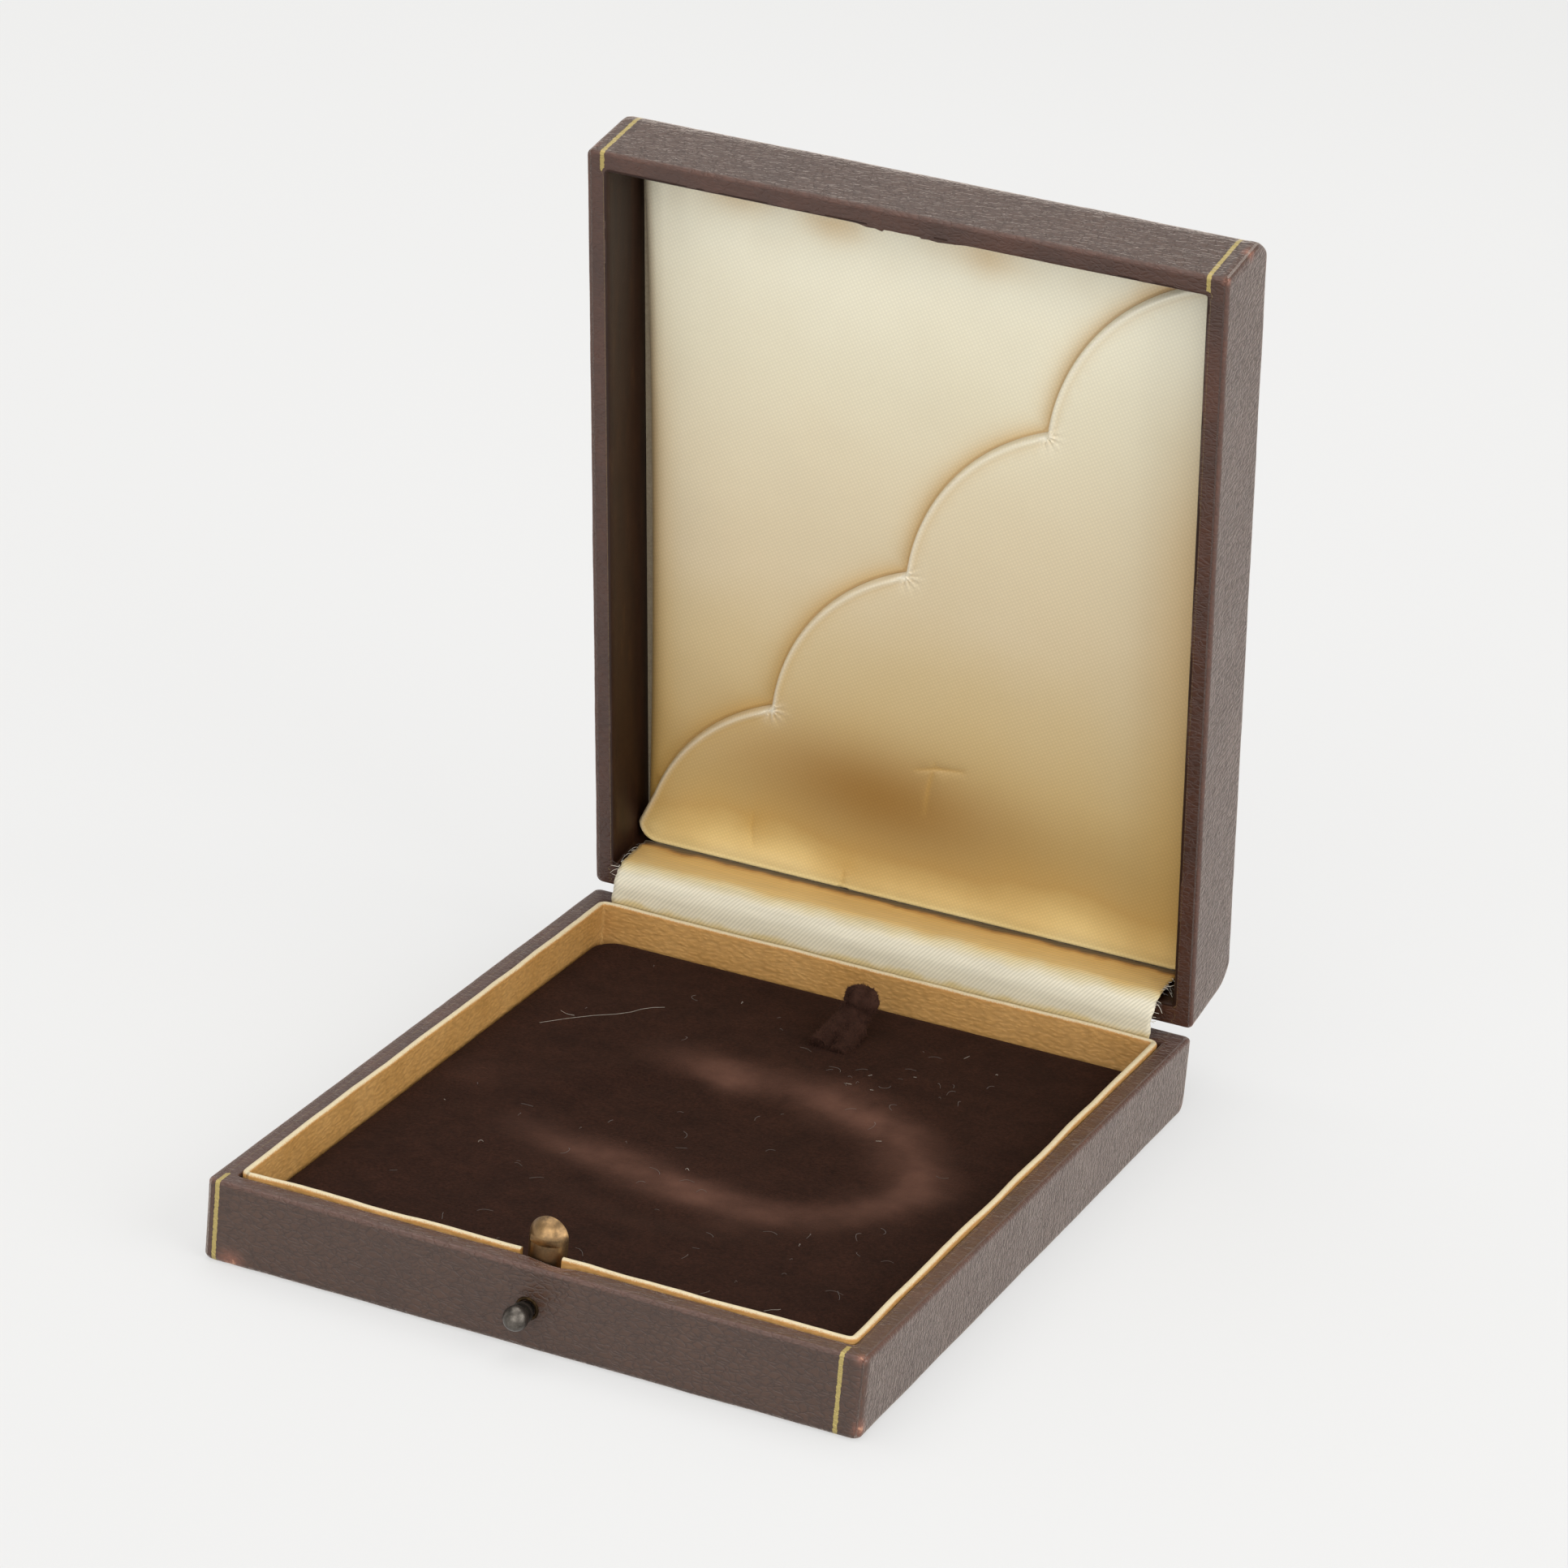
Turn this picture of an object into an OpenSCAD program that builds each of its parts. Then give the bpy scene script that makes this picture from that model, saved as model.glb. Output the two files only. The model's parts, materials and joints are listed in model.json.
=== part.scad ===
// Hinged presentation box for one pocket watch, standing open, in millimetres.
// The origin is the middle of the underside. +Z is up, -Y is the front with the push button.
// Lid pieces are drawn shut, upwards from the lid's rim, and on_lid() swings them to the open pose.

/* [Box] */
// Outside width
box_w = 88; // [70:1:130]
// Outside depth of the base, front to back
box_d = 112; // [90:1:150]
// Height of the base up to its rim
base_h = 11; // [9:0.5:16]
// Height of the lid from its rim to its top
lid_h = 14.5; // [13:0.5:20]
// How far the lid stands open
open_angle = 78.5; // [60:0.5:90]
// Space between the two rims when the box is shut
rim_gap = 0.5; // [0.4:0.1:0.8]

/* [Shell] */
// Thickness of the leatherette cover
cover_t = 0.4; // [0.3:0.1:0.6]
// Wood thickness of the front and side walls
wall_t = 2; // [2:0.1:3.2]
// Wood thickness of the base's back wall
back_wall_t = 3.2; // [2.6:0.1:4.2]
// Wood thickness of the lid's back wall
lid_back_wall_t = 2.6; // [2.4:0.1:3.6]
// Thickness of the base's bottom board
base_board_t = 1.6; // [1.2:0.1:2.2]
// Thickness of the lid's top board
lid_board_t = 2; // [1.4:0.1:2.6]
// How far the cover is turned in behind the base's rim
turn_in = 3; // [2:0.5:4]
// Rounding of the upright corners
corner_r = 0.8; // [0.6:0.1:2]
// Rounding of the base's bottom edges at the front and sides
base_edge_r = 1; // [0.8:0.1:2]
// Rounding of the base's bottom edge at the back
base_back_r = 2.4; // [1:0.1:3]
// Rounding of the lid's top edges at the front and back
lid_edge_r = 4.5; // [1.5:0.1:5]
// Rounding of the lid's top edges at the sides
lid_side_r = 1; // [0.8:0.1:2]
// Clearance between glued or seated pieces
seat_gap = 0.1; // [0.05:0.05:0.2]

/* [Tray] */
// Thickness of the card liner
liner_t = 1.2; // [0.8:0.1:1.6]
// How far the liner stands above the base's rim
liner_rise = 0.7; // [0.3:0.1:1.2]
// Outer rounding of the liner's corners
liner_corner_r = 1.6; // [1.3:0.1:3]
// Room behind the liner for the hinge ribbon
ribbon_room = 0.8; // [0.6:0.1:1.2]
// Thickness of the card under the velvet pad
pad_board_t = 1; // [0.6:0.1:1.6]
// Thickness of the velvet pad
velvet_t = 2.3; // [1.8:0.1:3]
// Rounding of the velvet pad's corners
velvet_corner_r = 3.5; // [1.5:0.5:6]
// Radius of the hollow that the watch has pressed in the pad
hollow_r = 26; // [18:1:30]
// Depth of that hollow
hollow_depth = 1; // [0.5:0.1:1.4]
// Width of the hollow's sloping edge
hollow_slope = 6; // [3:0.5:9]
// Distance of the hollow's middle from the front of the box
hollow_from_front = 54.5; // [50:0.5:60]

/* [Bow post] */
// Width of the velvet post that the watch's bow hooks over
post_w = 5.2; // [4.6:0.1:6.5]
// Thickness of the post
post_t = 3.4; // [3:0.1:4.5]
// Length of the post along its lean
post_len = 9; // [7:0.5:11]
// Lean of the post towards the hinge
post_lean = 24; // [15:1:40]
// Lean of the post to the right
post_tilt = 14; // [0:1:20]
// Distance of the post's foot from the back of the liner
post_from_back = 13.2; // [12.2:0.2:20.2]
// Distance of the post to the right of the middle
post_x = 0.9; // [-3:0.1:3]
// Height of the arch between the post's two legs
post_arch_h = 2.2; // [1:0.1:3]
// Radius of the wire inside the post
post_wire_r = 0.35; // [0.25:0.05:0.45]

/* [Catch] */
// Width of the catch tongue's head
tongue_w = 5.25; // [4.4:0.05:6]
// Thickness of the tongue's lever
lever_t = 1; // [0.8:0.1:1.2]
// How far the tongue stands above the base's rim
tongue_rise = 4.9; // [4.6:0.1:6]
// Thickness of the tongue's head, front to back
head_t = 1.95; // [1.7:0.05:2.4]
// Depth of the groove that the keeper locks in
groove_depth = 0.85; // [0.7:0.05:1.1]
// Height of the groove's middle above the base's rim
groove_rise = 2; // [1.7:0.1:2.3]
// Thickness of the keeper's lip
keeper_t = 0.4; // [0.3:0.05:0.5]
// Clearance around the keeper's lip in the groove
lock_gap = 0.25; // [0.15:0.05:0.3]
// Gap between the tongue and the walls in front of it
tongue_gap = 0.15; // [0.1:0.05:0.3]
// Height of the tongue's pivot above the underside
pivot_z = 2; // [1.8:0.1:2.4]
// Radius of the pivot pin
pivot_r = 0.42; // [0.35:0.01:0.5]
// Radial clearance of pins in their bores
pin_gap = 0.05; // [0.02:0.01:0.08]
// Height of the push button's middle above the underside
button_z = 5.5; // [5:0.05:6]
// Radius of the button's ball head
button_r = 1.6; // [1.4:0.1:2]
// Radius of the button's stem
stem_r = 1; // [0.8:0.05:1.1]
// How far the button stands out of the front
button_proud = 4.7; // [4.2:0.1:6]
// Sheet thickness of the catch body
catch_t = 0.4; // [0.3:0.05:0.5]
// Wood left in front of the catch body
front_skin = 1; // [0.8:0.1:1.2]

/* [Hinge] */
// Length of the hinge
hinge_len = 56; // [40:1:62]
// Outer radius of the hinge knuckles
knuckle_r = 1.2; // [1.1:0.05:1.4]
// Radius of the hinge pin
hinge_pin_r = 0.5; // [0.4:0.05:0.6]
// Sheet thickness of the hinge leaves
leaf_t = 0.4; // [0.3:0.05:0.5]
// Height of the hinge leaves on the back walls
leaf_drop = 6; // [5:0.5:7]
// Height of the hinge's axis above the base's rim
axis_rise = 1.1; // [1:0.05:1.2]
// Distance of the hinge's axis behind the back
axis_back = 0.1; // [0:0.05:0.3]

/* [Lid inside] */
// Thickness of the smooth lining on the lid's inner walls
lining_t = 0.4; // [0.3:0.1:0.6]
// Thickness of the card behind the satin
satin_card_t = 1; // [0.6:0.1:1.4]
// Thickness of the padded satin
satin_t = 2.8; // [1.5:0.1:3.2]
// Thickness of the card in the scalloped panel
panel_card_t = 0.5; // [0.3:0.1:0.8]
// Thickness of the satin padding on the scalloped panel
panel_t = 0.8; // [0.5:0.1:1.2]
// Number of whole scallops across the lid
scallops = 4; // [2:1:6]
// How far each scallop bulges, as a share of its width
scallop_bulge = 0.17; // [0.1:0.01:0.3]
// Distance of the first scallop's end from the lid's front and right walls
scallop_start = 4.8; // [2:0.2:8]
// Width of the satin ribbon over the hinge
ribbon_w = 78; // [64:1:79]
// Thickness of the ribbon
ribbon_t = 0.25; // [0.15:0.05:0.3]
// How far the ribbon stands off the lid's back wall at the rim
ribbon_puff = 1.5; // [0.8:0.1:2]

/* [Nails] */
// Radius of the nails' shanks
nail_r = 0.35; // [0.25:0.05:0.4]
// Radius of the nails' heads
nail_head_r = 0.8; // [0.6:0.05:0.9]
// Thickness of the nails' heads
nail_head_t = 0.2; // [0.15:0.05:0.25]
// Length of the nails below their heads
nail_len = 1.7; // [1.2:0.1:1.9]

/* [Hidden] */
$fn = 48;
eps = 0.01;
over = 1;

front = -box_d / 2;
back = box_d / 2;
rim_w = 2 * cover_t + wall_t;
back_rim = 2 * cover_t + back_wall_t;
wood_top = base_h - cover_t;
floor_z = cover_t + base_board_t;
pad_z = floor_z + pad_board_t;
velvet_top = pad_z + velvet_t;
wood_back_y = back - cover_t - back_wall_t;
lid_wood_back_y = back - cover_t - lid_back_wall_t;

liner_front = front + rim_w + seat_gap;
liner_back = back - back_rim - ribbon_room;
liner_half = box_w / 2 - rim_w - seat_gap;
liner_top = base_h + liner_rise;
pad_front = liner_front + liner_t + seat_gap;
pad_back = liner_back - liner_t - seat_gap;
pad_half = liner_half - liner_t - seat_gap;

post_y = liner_back - post_from_back;
post_arch_w = 1.5;
post_bore_gap = 0.1;
arch_spring = post_arch_h - post_arch_w / 2;

axis_y = back + axis_back;
axis_z = base_h + axis_rise;
knuckles = 5;
knuckle_gap = 0.15;
knuckle_len = hinge_len / knuckles;
barrel_gap = 0.25;
leaf_land = knuckle_r + 0.5;
leaf_nail_x = [-hinge_len * 0.4, -hinge_len * 0.13, hinge_len * 0.13, hinge_len * 0.4];
leaf_nail_drop = leaf_drop * 0.6;
nail_gap = 0.03;

lid_ceiling = lid_h - cover_t - lid_board_t;
card_low = lid_ceiling - satin_card_t;
satin_low = card_low - satin_t;
panel_card_low = satin_low - panel_card_t;
panel_low = panel_card_low - panel_t;
lid_front = front + cover_t + wall_t + lining_t;
lid_back = lid_wood_back_y - leaf_t;
lid_half = box_w / 2 - cover_t - wall_t - lining_t;
scallop_corner_r = 3;

tongue_front = front + rim_w + tongue_gap;
lever_front = tongue_front + 0.05;
pivot_y = lever_front + lever_t / 2;
lever_top = base_h - 1.5;
barrel_r = 0.8;
barrel_end = 1.2;
head_r = tongue_w / 2 + 0.1;
groove_z = base_h + groove_rise;
catch_half = 3;
catch_ear = 7;
ear_nail_x = [-(catch_half + catch_ear) / 2, (catch_half + catch_ear) / 2];
catch_low = cover_t + 0.5;
catch_top = wood_top - 0.5;
lug_top = pivot_z + 1.4;
plate_y = front + cover_t + front_skin;
wood_front_y = front + cover_t + wall_t;
lug_back = pivot_y + 0.85;
tongue_notch = catch_half + 0.6;
catch_room_back = lug_back + 0.6;
bush_r = stem_r + 0.8;
bush_flange_r = stem_r + 1.4;
bush_flange_t = 0.3;
press_gap = 0.06;
stem_end = lever_front - press_gap;
nose_r = 0.5;
clip_t = 0.3;
clip_y = plate_y + catch_t + 0.1;
clip_groove_r = stem_r - 0.2;
clip_r = stem_r + 0.6;
spring_wire_r = 0.12;
spring_coil_r = barrel_r - spring_wire_r;
spring_turns = 5;
keeper_half = 5;
keeper_up = 5;
keeper_low = groove_z - keeper_t / 2 - base_h - rim_gap;
keeper_reach = groove_depth - lock_gap;
keeper_nail_x = 3.6;
keeper_nail_z = keeper_low + keeper_up * 0.65;
tear_depth = 0.25;

// Board and card pieces

module slab(half_w, low_y, high_y, low_z, high_z)
    translate([-half_w, low_y, low_z]) cube([2 * half_w, high_y - low_y, high_z - low_z]);

module rounded_plan(half_w, low_y, high_y, r)
    union() {
        translate([-half_w + r, low_y]) square([2 * (half_w - r), high_y - low_y]);
        translate([-half_w, low_y + r]) square([2 * half_w, high_y - low_y - 2 * r]);
        for (x = [-half_w + r, half_w - r], y = [low_y + r, high_y - r])
            translate([x, y]) circle(r);
    }

module rounded_slab(half_w, low_y, high_y, low_z, high_z, r)
    translate([0, 0, low_z])
        linear_extrude(height = high_z - low_z) rounded_plan(half_w, low_y, high_y, r);

// A tray-shaped outline: flat bottom at the inset, two rounded bottom corners, upright sides.
module tray_outline(low, high, low_r, high_r, inset, cut) {
    a = max(low_r, inset + 0.1);
    b = max(high_r, inset + 0.1);
    union() {
        translate([low + a, inset]) square([high - low - a - b, cut - inset]);
        translate([low + inset, a]) square([a - inset + eps, cut - a]);
        translate([high - b - eps, b]) square([b - inset + eps, cut - b]);
        translate([low + a, a]) circle(a - inset);
        translate([high - b, b]) circle(b - inset);
    }
}

// The outer form of half a box, closed side down, shrunk by an inset and cut off at a height.
module shell_form(front_r, back_r, side_r, inset, cut)
    intersection() {
        rotate([90, 0, 90])
            linear_extrude(height = box_w + over, center = true)
                tray_outline(front, back, front_r, back_r, inset, cut);
        rotate([90, 0, 0])
            linear_extrude(height = box_d + over, center = true)
                tray_outline(-box_w / 2, box_w / 2, side_r, side_r, inset, cut);
        rounded_slab(box_w / 2 - inset, front + inset, back - inset, 0, cut, max(corner_r - inset, 0.1));
    }

module base_form(inset, cut)
    shell_form(base_edge_r, base_back_r, base_edge_r, inset, cut);

module lid_form(inset, low)
    translate([0, 0, lid_h]) mirror([0, 0, 1])
        shell_form(lid_edge_r, lid_edge_r, lid_side_r, inset, lid_h - low);

// Lid pieces: z = 0 is the lid's rim here.
module on_lid()
    translate([0, axis_y, axis_z]) rotate([-open_angle, 0, 0])
        translate([0, -axis_y, base_h + rim_gap - axis_z]) children();

// The same place seen from the lid's rim, for cuts that follow the hinge.
lid_axis_z = axis_z - base_h - rim_gap;

module along_x(y, z, r, low_x, high_x)
    translate([low_x, y, z]) rotate([0, 90, 0]) cylinder(h = high_x - low_x, r = r);

module along_y(x, z, r, low_y, high_y)
    translate([x, low_y, z]) rotate([-90, 0, 0]) cylinder(h = high_y - low_y, r = r);

// Fastening nails

module nail(x, head_y, z, way)
    translate([x, head_y, z]) rotate([-90 * way, 0, 0]) {
        cylinder(h = nail_head_t, r = nail_head_r);
        cylinder(h = nail_head_t + nail_len, r = nail_r);
    }

module nail_hole(x, head_y, z, way)
    translate([x, head_y, z]) rotate([-90 * way, 0, 0]) {
        translate([0, 0, -over]) cylinder(h = nail_head_t + nail_gap + over, r = nail_head_r + nail_gap);
        cylinder(h = nail_head_t + nail_len + nail_gap, r = nail_r + nail_gap);
    }

module leaf_nails(wall_y, z) for (x = leaf_nail_x) nail(x, wall_y - leaf_t, z, 1);
module leaf_nail_holes(wall_y, z) for (x = leaf_nail_x) nail_hole(x, wall_y - leaf_t, z, 1);
module ear_nails() for (x = ear_nail_x) nail(x, wood_front_y, button_z, -1);
module ear_nail_holes() for (x = ear_nail_x) nail_hole(x, wood_front_y, button_z, -1);
module keeper_nail_set()
    for (x = [-keeper_nail_x, keeper_nail_x]) nail(x, wood_front_y + keeper_t, keeper_nail_z, -1);
module keeper_nail_holes()
    for (x = [-keeper_nail_x, keeper_nail_x]) nail_hole(x, wood_front_y + keeper_t, keeper_nail_z, -1);

// Base shell

module catch_mortise(gap)
    union() {
        slab(catch_half + catch_t + gap, plate_y - gap, wood_front_y + over,
            catch_low - gap, catch_top + gap);
        slab(catch_ear + gap, wood_front_y - catch_t - gap, wood_front_y + over,
            catch_low - gap, catch_top + gap);
    }

module barrel_room(y, z)
    along_x(y, z, knuckle_r + barrel_gap, -hinge_len / 2 - barrel_gap, hinge_len / 2 + barrel_gap);

module base_frame() color("peru") difference() {
    base_form(cover_t, wood_top);
    slab(box_w / 2 - cover_t - wall_t, wood_front_y, wood_back_y, -over, base_h + over);
    catch_mortise(seat_gap);
    along_y(0, button_z, bush_r + seat_gap, front - over, wood_front_y);
    ear_nail_holes();
    leaf_nail_holes(wood_back_y, base_h - leaf_nail_drop);
    barrel_room(axis_y, axis_z);
}

module base_board() color("burlywood") difference() {
    slab(box_w / 2 - cover_t - wall_t - seat_gap, wood_front_y + seat_gap, wood_back_y - seat_gap,
        cover_t, floor_z);
    slab(tongue_notch, wood_front_y, catch_room_back, 0, floor_z + over);
}

module base_cover() color("#5a4a40") difference() {
    union() {
        difference() {
            base_form(0, base_h);
            base_form(cover_t, wood_top);
        }
        difference() {
            slab(box_w / 2 - cover_t - wall_t, wood_front_y, wood_back_y, base_h - turn_in, wood_top + eps);
            slab(box_w / 2 - rim_w, front + rim_w, back - back_rim, base_h - turn_in - over, base_h);
        }
    }
    slab(box_w / 2 - rim_w, front + rim_w, back - back_rim, -over, base_h + over);
    along_y(0, button_z, bush_r + seat_gap, front - over, wood_front_y);
    slab(catch_half, wood_front_y, front + rim_w + eps, 0, base_h + over);
    slab(hinge_len / 2 + seat_gap, back - back_rim - eps, back + over, wood_top - eps, base_h + over);
    slab(hinge_len / 2 + seat_gap, back - back_rim - eps, wood_back_y + eps,
        base_h - turn_in - over, base_h + over);
    barrel_room(axis_y, axis_z);
}

module base_bottom_sheet() color("#4a3a32") slab(box_w / 2 - rim_w - seat_gap,
    front + rim_w + seat_gap, back - back_rim - seat_gap, 0, cover_t);

// Tray

module tray_liner() color("#c49a62") difference() {
    rounded_slab(liner_half, liner_front, liner_back, floor_z, liner_top, liner_corner_r);
    rounded_slab(liner_half - liner_t, liner_front + liner_t, liner_back - liner_t, floor_z - over,
        liner_top + over, liner_corner_r - liner_t + 0.2);
    slab(catch_half, liner_front - over, liner_front + liner_t + over, 0, liner_top + over);
    slab(tongue_notch, liner_front - over, liner_front + liner_t + over, 0, lug_top + seat_gap);
}

module tray_fill(low_z, high_z, r) difference() {
    rounded_slab(pad_half, pad_front, pad_back, low_z, high_z, r);
    slab(tongue_notch, pad_front - over, catch_room_back, low_z - over, high_z + over);
}

module pad_board() color("gray") difference() {
    tray_fill(floor_z, pad_z, velvet_corner_r);
    post_wire(post_wire_r + post_bore_gap);
}

module velvet_pad() color("#33221b") difference() {
    tray_fill(pad_z, velvet_top, velvet_corner_r);
    translate([0, front + hollow_from_front, velvet_top - hollow_depth])
        cylinder(h = hollow_depth + eps, r1 = hollow_r - hollow_slope, r2 = hollow_r, $fn = 96);
    post_wire(post_wire_r + post_bore_gap);
}

// Bow post, leaning towards the hinge and to the right

module on_post()
    translate([post_x, post_y, velvet_top]) rotate([-post_lean, post_tilt, 0]) children();

module post_outline() difference() {
    union() {
        translate([-post_w / 2, -post_w]) square([post_w, post_len + post_w / 2]);
        translate([0, post_len - post_w / 2]) circle(post_w / 2);
    }
    translate([-post_arch_w / 2, -post_w - over])
        square([post_arch_w, post_w + over + arch_spring]);
    translate([0, arch_spring]) circle(post_arch_w / 2);
}

module post_wire(r) {
    leg_x = (post_w + post_arch_w) / 4;
    bend_z = post_len - post_w / 2;
    legs_deep = velvet_top - floor_z - leg_x * sin(post_tilt);
    legs_low = -legs_deep / (cos(post_lean) * cos(post_tilt)) + post_wire_r;
    on_post() {
        for (x = [-leg_x, leg_x])
            translate([x, 0, legs_low]) cylinder(h = bend_z - legs_low, r = r);
        translate([0, 0, bend_z]) rotate([90, 0, 0]) intersection() {
            rotate_extrude() translate([leg_x, 0]) circle(r);
            translate([-post_w, 0, -post_w]) cube(2 * post_w);
        }
    }
}

module bow_post() color("#2e1f19") difference() {
    intersection() {
        on_post() rotate([90, 0, 0]) linear_extrude(height = post_t, center = true) post_outline();
        translate([post_x - post_w, post_y - 2 * post_w, velvet_top + seat_gap])
            cube([2 * post_w, 5 * post_w, post_len]);
    }
    post_wire(post_wire_r + post_bore_gap);
}

module bow_post_wire() color("silver") post_wire(post_wire_r);

// Catch

module catch_body() color("goldenrod") difference() {
    union() {
        slab(catch_half + catch_t, plate_y, plate_y + catch_t, catch_low, catch_top);
        for (side = [-1, 1]) {
            translate([side > 0 ? catch_half : -catch_half - catch_t, plate_y, catch_low])
                cube([catch_t, wood_front_y - plate_y, catch_top - catch_low]);
            translate([side > 0 ? catch_half : -catch_half - catch_t, plate_y, catch_low])
                cube([catch_t, lug_back - plate_y, lug_top - catch_low]);
            translate([side > 0 ? catch_half : -catch_ear, wood_front_y - catch_t, catch_low])
                cube([catch_ear - catch_half, catch_t, catch_top - catch_low]);
        }
    }
    along_y(0, button_z, stem_r + seat_gap, plate_y - over, plate_y + catch_t + over);
    along_x(pivot_y, pivot_z, pivot_r + pin_gap, -catch_ear, catch_ear);
    ear_nail_holes();
}

module catch_pivot_pin() color("silver")
    along_x(pivot_y, pivot_z, pivot_r, -catch_half - catch_t, catch_half + catch_t);

module catch_tongue() color("gold") difference() {
    union() {
        along_x(pivot_y, pivot_z, barrel_r, -tongue_w / 2, barrel_end);
        translate([-tongue_w / 2, lever_front, pivot_z]) cube([tongue_w / 2 + barrel_end, lever_t, 1 + eps]);
        slab(tongue_w / 2, lever_front, lever_front + lever_t, pivot_z + 1, lever_top + eps);
        intersection() {
            translate([0, tongue_front + head_r, lever_top]) union() {
                cylinder(h = base_h + tongue_rise - lever_top - head_r, r = head_r);
                translate([0, 0, base_h + tongue_rise - lever_top - head_r]) sphere(head_r);
            }
            slab(tongue_w / 2, tongue_front - over, tongue_front + head_t,
                lever_top, base_h + tongue_rise + over);
        }
    }
    slab(tongue_w, tongue_front - over, tongue_front + groove_depth,
        groove_z - keeper_t / 2 - lock_gap, groove_z + keeper_t / 2 + lock_gap);
    along_x(pivot_y, pivot_z, pivot_r + pin_gap, -catch_ear, catch_ear);
}

// Torsion spring beside the tongue's barrel: one leg on the catch body, one behind the lever
module catch_spring() color("lightgray") {
    coil_x = barrel_end + spring_wire_r + 0.1;
    pitch = 2 * spring_wire_r - 0.02;
    leg_y = lever_front + lever_t + spring_wire_r + 0.03;
    union() {
        for (i = [0 : spring_turns - 1])
            translate([coil_x + i * pitch, pivot_y, pivot_z]) rotate([0, 90, 0])
                rotate_extrude() translate([spring_coil_r, 0]) circle(spring_wire_r, $fn = 16);
        along_y(coil_x + (spring_turns - 1) * pitch, pivot_z - spring_coil_r, spring_wire_r,
            plate_y + catch_t + 0.05, pivot_y);
        translate([coil_x, leg_y, pivot_z]) cylinder(h = spring_coil_r * 3.5, r = spring_wire_r, $fn = 16);
    }
}

module catch_nails() color("silver") ear_nails();

// Push button, turned about its own axis and drawn from its nose back to its head
module push_button() color("silver") {
    ball_y = front - button_proud + button_r;
    union() {
        difference() {
            along_y(0, button_z, stem_r, ball_y, stem_end - nose_r);
            difference() {
                along_y(0, button_z, stem_r + over, clip_y - 0.05, clip_y + clip_t + 0.05);
                along_y(0, button_z, clip_groove_r, clip_y - over, clip_y + clip_t + over);
            }
        }
        translate([0, stem_end - nose_r, button_z]) sphere(nose_r);
        translate([0, ball_y, button_z]) sphere(button_r);
        along_y(0, button_z, stem_r + 0.4, ball_y + button_r - 0.1, front - bush_flange_t - 0.9);
    }
}

module button_clip() color("lightgray") difference() {
    along_y(0, button_z, clip_r, clip_y, clip_y + clip_t);
    along_y(0, button_z, clip_groove_r + pin_gap, clip_y - over, clip_y + clip_t + over);
}

module button_bush() color("goldenrod") difference() {
    union() {
        along_y(0, button_z, bush_r, front - eps, plate_y);
        along_y(0, button_z, bush_flange_r, front - bush_flange_t, front);
    }
    along_y(0, button_z, stem_r + pin_gap, front - over, plate_y + over);
}

// Hinge

module knuckle(i, y, z)
    along_x(y, z, knuckle_r, -hinge_len / 2 + i * knuckle_len + knuckle_gap / 2,
        -hinge_len / 2 + (i + 1) * knuckle_len - knuckle_gap / 2);

// One leaf: a strip up or down the back wall, a strip over the rim, and tabs to its own knuckles
module leaf(wall_y, first, axis_at_z, low_z, high_z, rim_z) difference() {
    union() {
        slab(hinge_len / 2, wall_y - leaf_t, wall_y, low_z, high_z);
        slab(hinge_len / 2, wall_y - leaf_t, axis_y - leaf_land, rim_z, rim_z + leaf_t);
        for (i = [first : 2 : knuckles - 1]) {
            translate([-hinge_len / 2 + i * knuckle_len + knuckle_gap / 2, wall_y - leaf_t, rim_z])
                cube([knuckle_len - knuckle_gap, axis_y - wall_y + leaf_t, leaf_t]);
            knuckle(i, axis_y, axis_at_z);
        }
    }
    along_x(axis_y, axis_at_z, hinge_pin_r + pin_gap, -hinge_len, hinge_len);
}

module hinge_leaf_base() color("silver") difference() {
    leaf(wood_back_y, 0, axis_z, base_h - leaf_drop, base_h, wood_top);
    leaf_nail_holes(wood_back_y, base_h - leaf_nail_drop);
}

module hinge_leaf_lid() color("silver") on_lid() difference() {
    leaf(lid_wood_back_y, 1, lid_axis_z, 0, leaf_drop, 0);
    leaf_nail_holes(lid_wood_back_y, leaf_nail_drop);
}

module hinge_pin() color("gray") along_x(axis_y, axis_z, hinge_pin_r, -hinge_len / 2, hinge_len / 2);
module hinge_nails_base() color("gray") leaf_nails(wood_back_y, base_h - leaf_nail_drop);
module hinge_nails_lid() color("gray") on_lid() leaf_nails(lid_wood_back_y, leaf_nail_drop);

// Satin ribbon over the hinge: up the base's back wall, puffed over the two rims and along the
// lid's back wall to the scalloped panel, as seen from the side

function lid_point(y, z) = let(dy = y - axis_y, dz = z - lid_axis_z) [
    axis_y + dy * cos(open_angle) + dz * sin(open_angle),
    axis_z - dy * sin(open_angle) + dz * cos(open_angle)];

module strip(p, q) {
    d = q - p;
    n = [-d.y, d.x] / norm(d) * ribbon_t / 2;
    polygon([p + n, p - n, q - n, q + n]);
}

module hinge_ribbon() color("#dccb9a") {
    ribbon_y = wood_back_y - leaf_t - ribbon_t / 2 - seat_gap;
    path = [[ribbon_y, base_h - leaf_drop], [ribbon_y, liner_top],
        lid_point(lid_back - ribbon_puff * 0.7, -ribbon_puff * 1.2), lid_point(lid_back - ribbon_puff, 0),
        lid_point(lid_back - ribbon_puff * 0.4, panel_low - seat_gap)];
    rotate([90, 0, 90]) linear_extrude(height = ribbon_w, center = true) union() {
        for (i = [0 : len(path) - 2]) strip(path[i], path[i + 1]);
        for (i = [1 : len(path) - 2]) translate(path[i]) circle(ribbon_t / 2, $fn = 24);
    }
}

// Lid shell

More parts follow.
